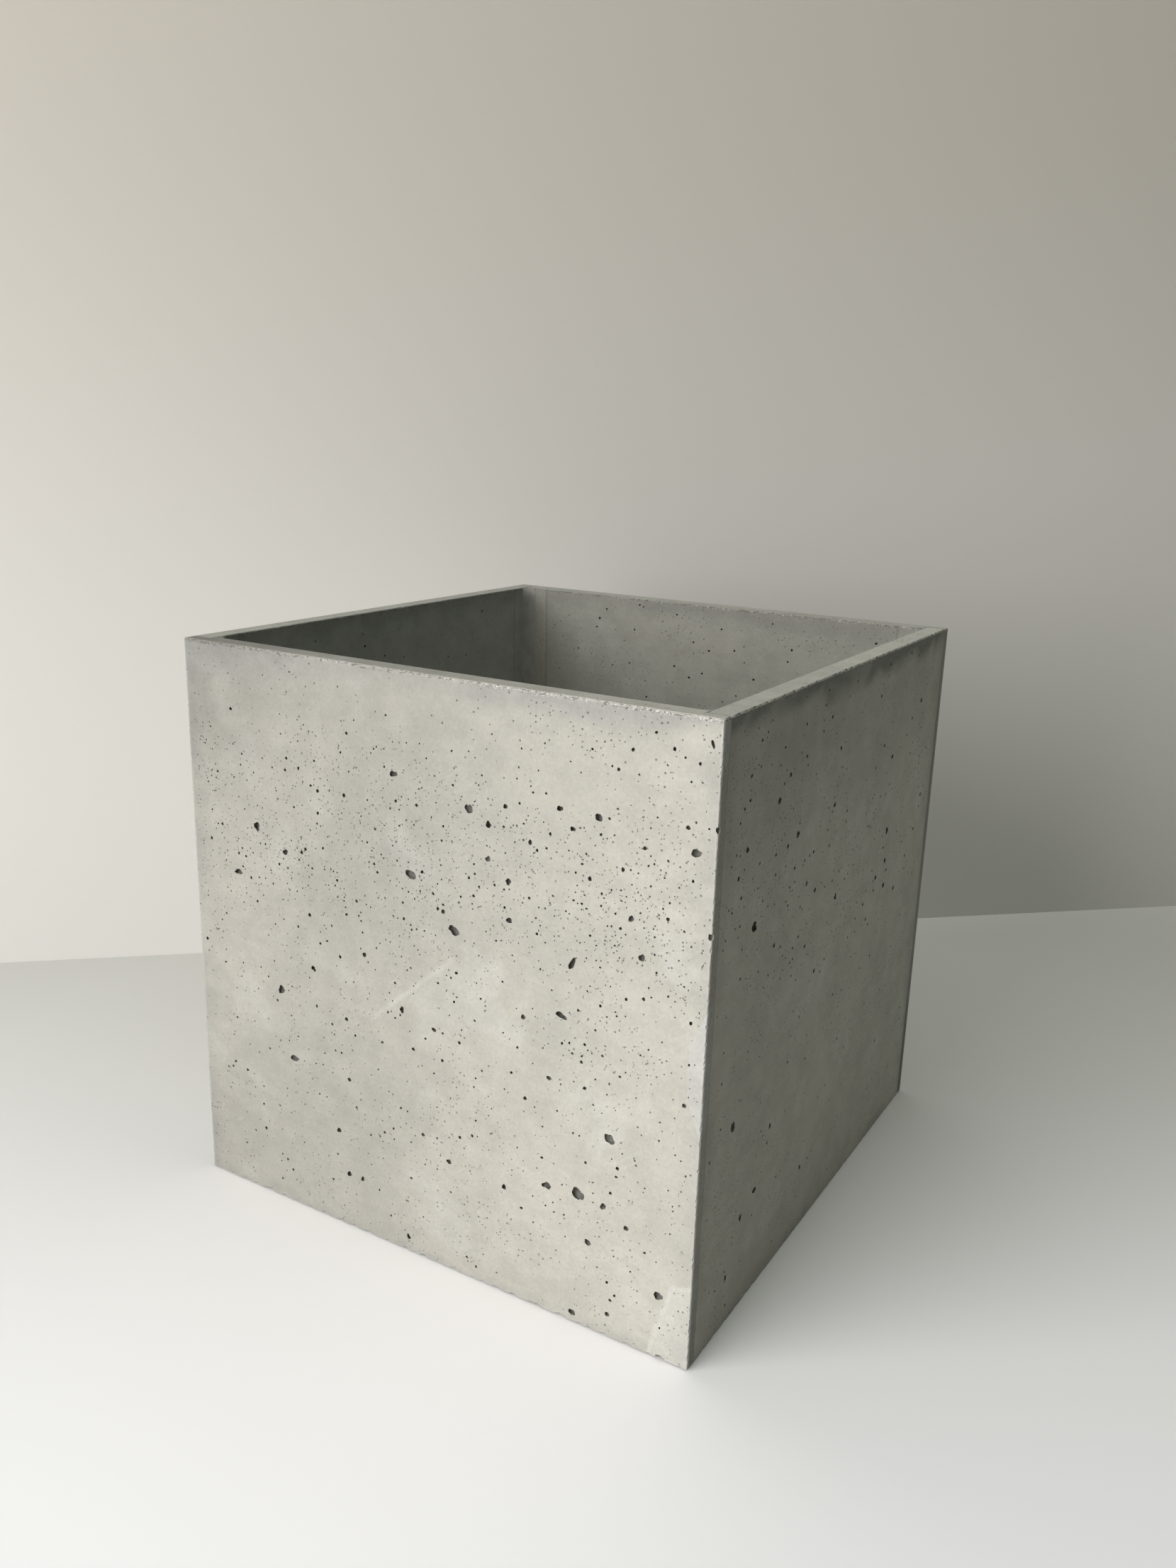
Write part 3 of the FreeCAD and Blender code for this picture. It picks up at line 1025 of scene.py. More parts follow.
class Finish:
    """A material built from nodes."""

    def __init__(self, name):
        self.material = bpy.data.materials.new(name)
        self.material.use_nodes = True
        self.tree = self.material.node_tree
        self.tree.nodes.clear()
        self.spot = self.node("ShaderNodeTexCoord", output="Object")

    def node(self, kind, settings=None, sockets=None, output=0):
        """Add a node, make its settings, then fill its sockets with values or wires."""
        made = self.tree.nodes.new(kind)
        for key, value in (settings or {}).items():
            setattr(made, key, value)
        for key, value in (sockets or {}).items():
            socket = made.inputs[key]
            if isinstance(value, Wire):
                self.tree.links.new(value.socket, socket)
            elif socket.type == "RGBA":
                socket.default_value = (*value, 1)
            else:
                socket.default_value = value
        if made.outputs:
            return Wire(self, made.outputs[output])

    def axes(self):
        """The three coordinates of the spot on the piece."""
        parts = self.node("ShaderNodeSeparateXYZ", sockets={0: self.spot})
        return [parts.other(axis) for axis in "XYZ"]

    def moved(self, shift):
        """The spot, moved so that no two pieces share a pattern."""
        return self.node("ShaderNodeVectorMath", {"operation": "ADD"}, {0: self.spot, 1: shift})

    def noise(self, place, scale=1.0, detail=2.0, rough=0.5, warp=0.0, stretch=None):
        """Soft noise, drawn finer along some axes where a stretch is given."""
        if stretch:
            place = self.node("ShaderNodeVectorMath", {"operation": "MULTIPLY"}, {0: place, 1: stretch})
        sockets = {
            "Vector": place, "Scale": scale, "Detail": detail, "Roughness": rough, "Distortion": warp,
        }
        return self.node("ShaderNodeTexNoise", {"noise_dimensions": "3D"}, sockets)

    def cells(self, place, scale):
        """Scattered points: the distance to the nearest one, and a number of that point's own."""
        nearest = self.node("ShaderNodeTexVoronoi", {"feature": "F1"}, {"Vector": place, "Scale": scale})
        number = self.node("ShaderNodeSeparateColor", sockets={0: nearest.other("Color")})
        return nearest, number

    def rise(self, value, low, high):
        """A smooth step from 0 at low to 1 at high."""
        sockets = {"Value": value, "From Min": low, "From Max": high}
        return self.node("ShaderNodeMapRange", {"interpolation_type": "SMOOTHSTEP"}, sockets)

    def fall(self, value, low, high):
        """A smooth step from 1 at low to 0 at high."""
        return 1 - self.rise(value, low, high)

    def spots(self, place, pattern, limits):
        """The spots where a pattern of noise rises through its limits."""
        return self.rise(self.noise(place, **pattern), *limits)

    def between(self, value, low, high):
        """A value from 0 to 1, carried over to the range from low to high."""
        return self.node("ShaderNodeMapRange", {}, {"Value": value, "To Min": low, "To Max": high})

    def blend(self, factor, first, second, kind="MIX"):
        """The first colour, going over to the second as the factor grows."""
        settings = {"data_type": "RGBA", "blend_type": kind}
        return self.node("ShaderNodeMix", settings, {0: factor, 6: first, 7: second}, 2)

    def shade(self, colour, value):
        """A colour made lighter or darker by a value."""
        grey = self.node("ShaderNodeCombineColor", {}, {0: value, 1: value, 2: value})
        return self.blend(1.0, colour, grey, "MULTIPLY")

    def tone(self, colour, value, limits, shades):
        """A colour that goes from one shade to the other as a value rises through its limits."""
        return self.shade(colour, self.between(self.rise(value, *limits), *shades))

    def surface(self, colour, roughness, height, **constants):
        """The shader, with its height in metres as bump."""
        bump = self.node("ShaderNodeBump", {}, {"Strength": 1.0, "Distance": 1.0, "Height": height})
        sockets = {"Base Color": colour, "Roughness": roughness, "Normal": bump, **constants}
        shader = self.node("ShaderNodeBsdfPrincipled", {}, sockets)
        self.node("ShaderNodeOutputMaterial", {}, {"Surface": shader})
        return self.material


def dress(piece, finish):
    """Give a piece, or a node of the frame, its finish."""
    if not piece.material_slots:
        piece.data.materials.append(finish)
    for slot in piece.material_slots:
        slot.material = finish


CONCRETE_LIGHT = (0.562, 0.538, 0.489)
CONCRETE_DARK = (0.512, 0.493, 0.449)
CONCRETE_COOL = (0.350, 0.350, 0.336)
CONCRETE_DAMP = (0.255, 0.258, 0.232)
CONCRETE_STAIN = (0.300, 0.288, 0.252)
LIME_BLOOM = (0.69, 0.682, 0.66)
LIME_WASH = (0.665, 0.668, 0.66)
LIME_RIDGE = (0.84, 0.83, 0.80)
# Pale sand flecks, painted bright as glints
FLECK_AND_GLINT = (0.90, 0.90, 0.88)
# Painted shade with dust: the tone of the pin holes, the air holes and the crest's pockets
HOLE_DUST_AND_SHADE = (0.115, 0.112, 0.10)
SKIN = 0.4 * MM
OFF_FACE = (SKIN, 2 * SKIN)
OFF_RIM = (SKIN, 3 * SKIN)
PATTERN_MIDDLE = 0.5


def wander(pattern, reach):
    """A distance that goes to and fro with a pattern."""
    return (pattern - PATTERN_MIDDLE) * reach


def end_distances(x, y, z):
    """How far a spot of the front or rear slab is from its ends, outer face, inner face and corners."""
    return OUT_X - abs(x), OUT_Y - abs(y), abs(y) - IN_Y, IN_X - abs(x)


def side_distances(x, y, z):
    """The same for the left or right slab."""
    return SIDE_REACH - abs(y), OUT_X - abs(x), abs(x) - IN_X, IN_Y - abs(y)


def base_distances(x, y, z):
    """The same for the base slab, whose outer face is its underside."""
    ends = (BASE_X - abs(x)).least(BASE_Y - abs(y))
    return ends, z - FOOT, FLOOR - z, (IN_X - abs(x)).least(IN_Y - abs(y))


CLOUDS = {"scale": 11.0, "detail": 3.0, "warp": 0.6}
MOTTLE = {"scale": 75.0, "detail": 5.0, "rough": 0.65}
BRUSH = {"stretch": (45.0, 45.0, 190.0), "detail": 4.0, "rough": 0.6}
GRAIN = {"scale": 800.0, "detail": 3.0, "rough": 0.7}
DRIFT = {"scale": 30.0, "detail": 4.0}
PATCHES = {"scale": 17.0, "warp": 1.0}


class Spot:
    """A spot on a slab: its coordinates, its distances from the slab's edges, and the patterns there."""

    def __init__(self, finish, distances, shift):
        self.place = finish.moved(shift)
        self.x, self.y, self.z = finish.axes()
        self.ends, self.outer, self.inner, self.corner = distances(self.x, self.y, self.z)
        self.top = RIM - self.z
        self.foot = self.z - FOOT
        self.off_rim = finish.rise(self.top, *OFF_RIM)
        self.clouds = finish.noise(self.place, **CLOUDS)
        self.mottle = finish.noise(self.place, **MOTTLE)
        self.brush = finish.noise(self.place, **BRUSH)
        self.grain = finish.noise(self.place, **GRAIN)
        self.drift = finish.noise(self.place, **DRIFT)
        self.patches = finish.noise(self.place, **PATCHES)


SCUFF_TURN = (0.5, 0.6, 0.5)
SCUFF_STROKES = {"stretch": (60.0, 60.0, 420.0), "detail": 3.0, "warp": 0.4}
SCUFF_STROKE_LIMITS = (0.6, 0.68)
SCUFF_GROUPS = {"scale": 26.0}
SCUFF_GROUP_LIMITS = (0.52, 0.6)


def scuffs(finish, spot):
    """Short pale strokes, in groups, that lie aslant."""
    aslant = finish.node("ShaderNodeMapping", {}, {"Vector": spot.place, "Rotation": SCUFF_TURN})
    stroke = finish.spots(aslant, SCUFF_STROKES, SCUFF_STROKE_LIMITS)
    return stroke * finish.spots(spot.place, SCUFF_GROUPS, SCUFF_GROUP_LIMITS)


CLOUD_LIMITS = (0.32, 0.66)
BLOOM = {"scale": 21.0, "detail": 5.0, "warp": 0.4}
BLOOM_LIMITS = (0.56, 0.66)
BLOOM_STRENGTH = 0.22
SCUFF_STRENGTH = 0.16


def cast_skin(finish, spot):
    """The colour of the skin of a cast face: clouds, lime bloom and scuffs."""
    colour = finish.blend(finish.rise(spot.clouds, *CLOUD_LIMITS), CONCRETE_DARK, CONCRETE_LIGHT)
    bloom = finish.spots(spot.place, BLOOM, BLOOM_LIMITS)
    colour = finish.blend(bloom * BLOOM_STRENGTH, colour, LIME_BLOOM)
    return finish.blend(scuffs(finish, spot) * SCUFF_STRENGTH, colour, LIME_BLOOM)


BAND_WOBBLE = 22 * MM
TOP_BAND = (2 * MM, 15 * MM)
END_BAND = (1 * MM, 13 * MM)
FOOT_BAND = (0.0, 6 * MM)
BAND_PATCHES = (0.4, 0.58)
BAND_DENSITIES = (0.5, 1.0)


def edge_bands(finish, spot, strengths):
    """The darker, cooler bands that the mould leaves along the top, the ends and the foot of a slab."""
    top_strength, end_strength, foot_strength = strengths
    wobble = wander(spot.drift, BAND_WOBBLE)
    top_band = finish.fall(spot.top + wobble, *TOP_BAND) * top_strength
    end_band = finish.fall(spot.ends + wobble, *END_BAND) * end_strength
    foot_band = finish.fall(spot.foot + wobble, *FOOT_BAND) * foot_strength
    patchy = finish.between(finish.rise(spot.patches, *BAND_PATCHES), *BAND_DENSITIES)
    return top_band.most(end_band).most(foot_band) * patchy * spot.off_rim


STAIN_WOBBLE = 14 * MM
STAIN_BAND = (3 * MM, 9 * MM)
STAIN_STRENGTH = 0.55
FILM_REACH = 16 * MM
FILM_WOBBLE = 4 * MM
FILM_EDGE = (0.0, 0.6 * MM)
FILM_PALER = 0.04
FILM_LINE = (0.3 * MM, 1.0 * MM)
FILM_LINE_DARKER = 0.2


def inner_tone(finish, spot, colour, inner_painted_shade):
    """The inner face darkened and tinted by a painted shade, with a stain under the rim and the film of
    mortar beside the corners.
    """
    on_inner = finish.fall(spot.inner, *OFF_FACE)
    # Painted shade: each wall's inner face is multiplied by its own darker tint
    colour = finish.blend(on_inner, colour, inner_painted_shade, "MULTIPLY")
    stain = finish.fall(spot.top + wander(spot.drift, STAIN_WOBBLE), *STAIN_BAND) * spot.off_rim * on_inner
    colour = finish.blend(stain * STAIN_STRENGTH, colour, CONCRETE_STAIN)
    reach = spot.corner - FILM_REACH + wander(spot.drift, FILM_WOBBLE)
    film = finish.fall(reach, *FILM_EDGE) * on_inner
    line = finish.fall(abs(reach), *FILM_LINE) * on_inner
    return finish.shade(colour, (1 + film * FILM_PALER) - line * FILM_LINE_DARKER)


MOTTLE_LIMITS = (0.3, 0.7)
MOTTLE_SHADES = (0.94, 1.06)
BRUSH_LIMITS = (0.3, 0.7)
BRUSH_SHADES = (0.978, 1.022)
GRAIN_LIMITS = (0.25, 0.75)
GRAIN_SHADES = (0.935, 1.065)


def fine_tones(finish, spot, colour):
    """Mottling, the brush's level strokes and the grain of the sand."""
    colour = finish.tone(colour, spot.mottle, MOTTLE_LIMITS, MOTTLE_SHADES)
    colour = finish.tone(colour, spot.brush, BRUSH_LIMITS, BRUSH_SHADES)
    return finish.tone(colour, spot.grain, GRAIN_LIMITS, GRAIN_SHADES)


PORE_SCALE = 430.0
PORE_RADII = (0.12, 0.24)
SPECK_SHIFT = (9.0, 2.0, 5.0)
SPECK_SCALE = 800.0
SPECK_RADII = (0.14, 0.3)
SPECK_RARER = 0.04
PORE_PATCHES = (0.35, 0.65)
PORE_THRESHOLDS = (0.98, 0.84)
CROWD_EASE = 0.1


def pores(finish, spot, crowd):
    """Pin holes too fine to model, in crowds here and there."""
    pore, number = finish.cells(spot.place, PORE_SCALE)
    speck, speck_number = finish.cells(finish.moved(SPECK_SHIFT), SPECK_SCALE)
    threshold = finish.between(finish.rise(spot.patches, *PORE_PATCHES), *PORE_THRESHOLDS)
    threshold = threshold - crowd * CROWD_EASE
    wide = finish.fall(pore, *PORE_RADII) * (number > threshold)
    fine = finish.fall(speck, *SPECK_RADII) * (speck_number > threshold + SPECK_RARER)
    return wide.most(fine)


# Painted shade with dust: how dark the pin holes are, and over what depth the air holes darken to their
# full tone
PORE_SHADE_STRENGTH = 0.75
DUST_AND_SHADE_START = 0.08 * MM
DUST_AND_SHADE_DEPTH = 0.75 * MM
DUST_AND_SHADE_STRENGTH = 0.86


def shaded_dusty_holes(finish, spot, colour, holes, dust_and_shade_depth):
    """Painted shade, with dust, in the pin holes, and in the air holes, growing to its full tone at the
    given depth.
    """
    # Painted shade, with dust: the pin holes take the dark tone
    colour = finish.blend(holes * PORE_SHADE_STRENGTH, colour, HOLE_DUST_AND_SHADE)
    # Painted shade, with dust: the air holes darken with depth below the faces
    depth = spot.ends.least(spot.top).least(spot.foot).least(spot.outer).least(spot.inner)
    return finish.blend(finish.rise(depth, DUST_AND_SHADE_START, dust_and_shade_depth) * DUST_AND_SHADE_STRENGTH, colour, HOLE_DUST_AND_SHADE)


STRIP_START = (1 * MM, 2 * MM)
STRIP_LEVELS = (20 * MM, 90 * MM)
STRIP_STRENGTHS = (0.45, 0.28)
ARRIS_WOBBLE = 2 * MM
ARRIS_REACH = (0.5 * MM, 1.5 * MM)


def slab_ends(finish, spot, colour, arris_wear):
    """The darker strip of a slab's end, and the pale worn arris beside it."""
    strip = finish.fall(spot.ends, *OFF_FACE) * finish.rise(spot.outer, *STRIP_START)
    strength = finish.between(finish.rise(spot.foot, *STRIP_LEVELS), *STRIP_STRENGTHS)
    colour = finish.shade(colour, 1 - strip * strength)
    arris = spot.ends.most(spot.outer) + wander(spot.mottle, ARRIS_WOBBLE)
    return finish.blend(finish.fall(arris, *ARRIS_REACH) * arris_wear, colour, LIME_BLOOM)


CREST_WOBBLE = 3 * MM
CREST_REACH = (1.0 * MM, 2.6 * MM)
CREST_START = (0.15 * MM, 0.5 * MM)
POCKETS = {"stretch": (420.0, 420.0, 1500.0), "detail": 3.0}
POCKET_LIMITS = (0.54, 0.6)
FLECKS = {"scale": 1300.0}
FLECK_LIMITS = (0.56, 0.62)
FLECK_GLOSS = 0.4
GLINT_PATCHES = {"scale": 55.0}
GLINT_PATCH_LIMITS = (0.35, 0.6)
GLINT_START = (-0.1, -0.04)


def crest(finish, spot, colour, roughness, fleck_and_glint_strength, pocket_strength):
    """The worn top edge: dark pockets drawn out along it, in painted shade with dust, and pale flecks of
    sand painted bright as glints, away from the left end.
    """
    height = spot.top + wander(spot.mottle, CREST_WOBBLE)
    worn = finish.fall(height, *CREST_REACH) * finish.rise(spot.top, *CREST_START)
    pocket = finish.spots(spot.place, POCKETS, POCKET_LIMITS) * worn
    fleck = finish.spots(spot.place, FLECKS, FLECK_LIMITS) * worn
    glint_patches = finish.spots(spot.place, GLINT_PATCHES, GLINT_PATCH_LIMITS) * finish.rise(spot.x, *GLINT_START)
    # Painted shade, with dust, in the crest's pockets; painted glints on its flecks
    colour = finish.blend(pocket * pocket_strength, colour, HOLE_DUST_AND_SHADE)
    colour = finish.blend(fleck * glint_patches * fleck_and_glint_strength, colour, FLECK_AND_GLINT)
    return colour, roughness - fleck * (FLECK_GLOSS * fleck_and_glint_strength)


CONCRETE_ROUGHNESS = (0.66, 0.86)
BAND_GLOSS = 0.14
GRAIN_HEIGHT = 0.05 * MM
MOTTLE_HEIGHT = 0.12 * MM
BRUSH_HEIGHT = 0.06 * MM
PORE_DEPTH = 0.25 * MM


def concrete(
        name, distances, shift, strengths, inner_painted_shade, wear, marks=None, edge_tone=CONCRETE_COOL,
        dust_and_shade_depth=DUST_AND_SHADE_DEPTH):
    """Cast concrete: clouds, mottling, cooler edges, lime bloom, painted glints on the crest, and painted
    shade on the inner faces and, with dust, in the pores and air holes.
    """
    finish = Finish(name)
    spot = Spot(finish, distances, shift)
    arris_wear, fleck_and_glint_strength, pocket_strength = wear
    band = edge_bands(finish, spot, strengths)
    colour = finish.blend(band, cast_skin(finish, spot), edge_tone)
    crowd = 0.0
    if marks:
        colour, crowd = marks(finish, spot, colour)
    colour = inner_tone(finish, spot, colour, inner_painted_shade)
    colour = fine_tones(finish, spot, colour)
    holes = pores(finish, spot, crowd)
    colour = shaded_dusty_holes(finish, spot, colour, holes, dust_and_shade_depth)
    colour = slab_ends(finish, spot, colour, arris_wear)
    roughness = finish.between(spot.mottle, *CONCRETE_ROUGHNESS) - band * BAND_GLOSS
    colour, roughness = crest(finish, spot, colour, roughness, fleck_and_glint_strength, pocket_strength)
    height = spot.grain * GRAIN_HEIGHT + spot.mottle * MOTTLE_HEIGHT + spot.brush * BRUSH_HEIGHT
    return finish.surface(colour, roughness, height - holes * PORE_DEPTH)


FRONT_ACROSS = (-0.06, 0.13)
FRONT_PAINTED_LIGHT_ACROSS = (0.875, 1.16)
FRONT_UP = (0.0, 0.3)
FRONT_PAINTED_LIGHT_UP = (1.045, 0.945)
FRONT_LEFT = (0.05, 0.15)
DULL_PATCHES = (0.35, 0.6)
DULL_DENSITIES = (0.5, 1.0)
DULL_HIGH = (0.19, 0.29)
DULL_HIGH_STRENGTH = 0.31
DULL_LOW = (-0.13, -0.02)
DULL_LOW_STRENGTH = 0.16
COOL_WOBBLE = 0.03
COOL_START = (0.279, 0.292)
COOL_END = (0.3, 0.301)
COOL_STRENGTH = 0.5


def front_light_and_tones(finish, spot, colour):
    """Painted light on the front, lighter towards its right and its foot; darker upper and lower left, and
    a cool upper left edge.
    """
    # Painted light: the front grows lighter towards its right and towards its foot
    colour = finish.tone(colour, spot.x, FRONT_ACROSS, FRONT_PAINTED_LIGHT_ACROSS)
    colour = finish.tone(colour, spot.z, FRONT_UP, FRONT_PAINTED_LIGHT_UP)
    left = finish.rise(-1 * spot.x, *FRONT_LEFT)
    high = left * finish.rise(spot.z, *DULL_HIGH) * DULL_HIGH_STRENGTH
    low = left * finish.rise(-1 * spot.z, *DULL_LOW) * DULL_LOW_STRENGTH
    patchy = finish.between(finish.rise(spot.drift, *DULL_PATCHES), *DULL_DENSITIES)
    colour = finish.shade(colour, 1 - high.most(low) * patchy)
    cool = left * finish.rise(spot.z + wander(spot.drift, COOL_WOBBLE), *COOL_START)
    cool = cool * finish.fall(spot.z, *COOL_END)
    return finish.blend(cool * COOL_STRENGTH, colour, CONCRETE_COOL)


LIME_TOP = 0.0335
LIME_MIDDLE = 0.134
LIME_TOP_SLOPE = 0.5
LIME_LEFT = 0.127
LIME_LEFT_SLOPE = 0.4
LIME_EDGE = (0.0, 1 * MM)
LIME_STRENGTH = 0.3
LIME_BORDER = (0.2 * MM, 2.0 * MM)
LIME_BORDER_STRENGTH = 0.5


def lime_patch(finish, spot, colour, ragged):
    """The patch of lime at the foot of the near corner, and its paler border."""
    under = LIME_TOP + (spot.x - LIME_MIDDLE) * LIME_TOP_SLOPE - spot.z + ragged
    beside = spot.x - (LIME_LEFT + spot.z * LIME_LEFT_SLOPE) + ragged
    within = under.least(beside)
    colour = finish.blend(finish.rise(within, *LIME_EDGE) * LIME_STRENGTH, colour, LIME_RIDGE)
    border = finish.fall(abs(within), *LIME_BORDER)
    return finish.blend(border * LIME_BORDER_STRENGTH, colour, LIME_RIDGE)


WASH_MIDDLE = 0.150
WASH_RAGGED = 2
WASH_HALF_HEIGHT = (0.012, 0.034)
WASH_NARROWER = 0.008
WASH_EDGE_RAGGED = 0.4
WASH_EDGE = (0.1422, 0.1436)
WASH_STRENGTH = 0.55


def lime_wash(finish, spot, colour, ragged):
    """The pale wash beside the near edge, widest at half the height."""
    away = abs(spot.z - WASH_MIDDLE + ragged * WASH_RAGGED)
    narrower = finish.rise(away, *WASH_HALF_HEIGHT) * WASH_NARROWER
    wash = finish.rise(spot.x + ragged * WASH_EDGE_RAGGED - narrower, *WASH_EDGE)
    return finish.blend(wash * WASH_STRENGTH, colour, LIME_WASH)


SCRAPE_LEVEL = 0.149
SCRAPE_LEFT = 0.0035
SCRAPE_SLOPE = 0.872
SCRAPE_RAGGED = 0.1
SCRAPE_HALF_WIDTH = (0.5 * MM, 2.6 * MM)
SCRAPE_MIDDLE = 0.0055
SCRAPE_HALF_LENGTH = (0.020, 0.030)
SCRAPE_STRENGTH = 0.35


def scrape(finish, spot, colour, ragged):
    """The pale scrape that lies aslant in the middle of the front."""
    across = (spot.z - SCRAPE_LEVEL) - (spot.x + SCRAPE_LEFT) * SCRAPE_SLOPE
    along = finish.fall(abs(spot.x + SCRAPE_MIDDLE), *SCRAPE_HALF_LENGTH)
    stroke = finish.fall(abs(across + ragged * SCRAPE_RAGGED), *SCRAPE_HALF_WIDTH) * along
    return finish.blend(stroke * SCRAPE_STRENGTH, colour, LIME_BLOOM)


RAGGED_REACH = 0.016
CROWD_LEVEL = 0.216
CROWD_HALF_HEIGHT = (0.015, 0.05)


def front_marks(finish, spot, colour):
    """The front's painted light and its own marks, and the level at which its pin holes crowd."""
    ragged = wander(spot.drift, RAGGED_REACH)
    colour = front_light_and_tones(finish, spot, colour)
    for mark in (lime_patch, lime_wash, scrape):
        colour = mark(finish, spot, colour, ragged)
    return colour, finish.fall(abs(spot.z - CROWD_LEVEL), *CROWD_HALF_HEIGHT)


RIGHT_ACROSS = (-0.14, 0.15)
RIGHT_PAINTED_LIGHT = (1.05, 1.17)
RIGHT_DULL = (0.215, 0.285)
RIGHT_DULL_STRENGTH = 0.16


def right_marks(finish, spot, colour):
    """The right side lightened by painted light, more towards the rear, and duller near the top."""
    # Painted light: the whole right side is made lighter, most at the rear
    colour = finish.tone(colour, spot.y, RIGHT_ACROSS, RIGHT_PAINTED_LIGHT)
    dull = finish.rise(spot.z, *RIGHT_DULL) * spot.off_rim
    return finish.shade(colour, 1 - dull * RIGHT_DULL_STRENGTH), 0.0


MORTAR_SAND = {"scale": 800.0}
MORTAR_LIMITS = (0.35, 0.65)
MORTAR_SHADES = (0.85, 1.15)
MORTAR_ROUGHNESS = (0.7, 0.9)
SAND_HEIGHT = 0.08 * MM
MORTAR_HEIGHT = 0.2 * MM


def plain_mortar(name, light, dark, cloud_scale):
    """Mortar or adhesive: sandy, with darker and lighter stretches."""
    finish = Finish(name)
    clouds = finish.noise(finish.spot, cloud_scale, detail=3.0)
    sand = finish.noise(finish.spot, **MORTAR_SAND)
    colour = finish.blend(finish.rise(clouds, *MORTAR_LIMITS), dark, light)
    colour = finish.shade(colour, finish.between(sand, *MORTAR_SHADES))
    height = sand * SAND_HEIGHT + clouds * MORTAR_HEIGHT
    return finish.surface(colour, finish.between(sand, *MORTAR_ROUGHNESS), height)


MOULDED_DUST = {"scale": 90.0, "detail": 4.0, "rough": 0.6}
MOULDED_DUST_LIMITS = (0.42, 0.72)
MOULDED_SKIN = {"scale": 2600.0, "detail": 1.0}
MOULDED_SCUFFS = {"stretch": (400.0, 400.0, 2600.0), "detail": 3.0}
MOULDED_SCUFF_LIMITS = (0.66, 0.74)
MOULDED_SCUFF_STRENGTH = 0.35
MOULDED_SKIN_HEIGHT = 0.02 * MM
MOULDED_SCUFF_HEIGHT = 0.015 * MM


def moulded(name, light, dark, roughness):
    """Moulded rubber or plastic: a fine matt skin with dust and a few scuffs."""
    finish = Finish(name)
    dust = finish.noise(finish.spot, **MOULDED_DUST)
    skin = finish.noise(finish.spot, **MOULDED_SKIN)
    rubbed = finish.noise(finish.spot, **MOULDED_SCUFFS)
    colour = finish.blend(finish.rise(dust, *MOULDED_DUST_LIMITS), dark, light)
    rubbed_light = finish.rise(rubbed, *MOULDED_SCUFF_LIMITS) * MOULDED_SCUFF_STRENGTH
    colour = finish.blend(rubbed_light, colour, light)
    height = skin * MOULDED_SKIN_HEIGHT + rubbed * MOULDED_SCUFF_HEIGHT
    return finish.surface(colour, finish.between(dust, *roughness), height)


SCRIM_FILAMENTS = {"stretch": (3000.0, 3000.0, 3000.0)}
SCRIM_SIZING = {"scale": 120.0}
SCRIM_SIZING_LIMITS = (0.4, 0.6)
SCRIM_DARK = (0.62, 0.64, 0.60)
SCRIM_LIGHT = (0.78, 0.79, 0.76)
SCRIM_SHADES = (0.85, 1.1)
SCRIM_ROUGHNESS = (0.3, 0.5)
SCRIM_HEIGHT = 0.05 * MM


def glass_scrim(name):
    """Woven glass strands: pale, with fine filaments and patches of sizing."""
    finish = Finish(name)
    filaments = finish.noise(finish.spot, **SCRIM_FILAMENTS)
    sizing = finish.spots(finish.spot, SCRIM_SIZING, SCRIM_SIZING_LIMITS)
    colour = finish.blend(sizing, SCRIM_DARK, SCRIM_LIGHT)
    colour = finish.shade(colour, finish.between(filaments, *SCRIM_SHADES))
    return finish.surface(colour, finish.between(filaments, *SCRIM_ROUGHNESS), filaments * SCRIM_HEIGHT)


# The finish of each slab: its strengths are those of the top, end and foot bands, its inner shade is
# painted shade, and its wear is that of the arris, the crest's flecks with painted glints and the crest's
# pockets with painted shade
front_finish = concrete(
    "concrete_front",
    end_distances,
    shift=(0.0, 0.0, 0.0),
    strengths=(0.75, 0.4, 0.3),
    inner_painted_shade=(0.8, 0.8, 0.79),
    wear=(0.28, 0.9, 0.75),
    marks=front_marks,
)
rear_finish = concrete(
    "concrete_rear",
    end_distances,
    shift=(3.1, 1.7, 0.4),
    strengths=(0.7, 0.5, 0.3),
    inner_painted_shade=(0.65, 0.667, 0.645),
    wear=(0.3, 0.38, 0.7),
)
left_finish = concrete(
    "concrete_left",
    side_distances,
    shift=(1.3, 5.2, 2.2),
    strengths=(0.6, 0.5, 0.3),
    inner_painted_shade=(0.70, 0.74, 0.765),
    wear=(0.0, 0.2, 0.6),
)
right_finish = concrete(
    "concrete_right",
    side_distances,
    shift=(7.4, 0.6, 3.5),
    strengths=(1.3, 0.3, 0.3),
    inner_painted_shade=(0.8, 0.8, 0.79),
    wear=(0.0, 0.15, 0.8),
    marks=right_marks,
    edge_tone=CONCRETE_DAMP,
    dust_and_shade_depth=0.32 * MM,
)
base_finish = concrete(
    "concrete_base",
    base_distances,
    shift=(2.6, 8.3, 1.1),
    strengths=(0.0, 0.3, 0.3),
    inner_painted_shade=(0.85, 0.85, 0.84),
    wear=(0.0, 0.0, 0.0),
)
slabs = (front, rear, left, right, base)
slab_finishes = (front_finish, rear_finish, left_finish, right_finish, base_finish)
for slab, slab_finish in zip(slabs, slab_finishes):
    dress(slab, slab_finish)

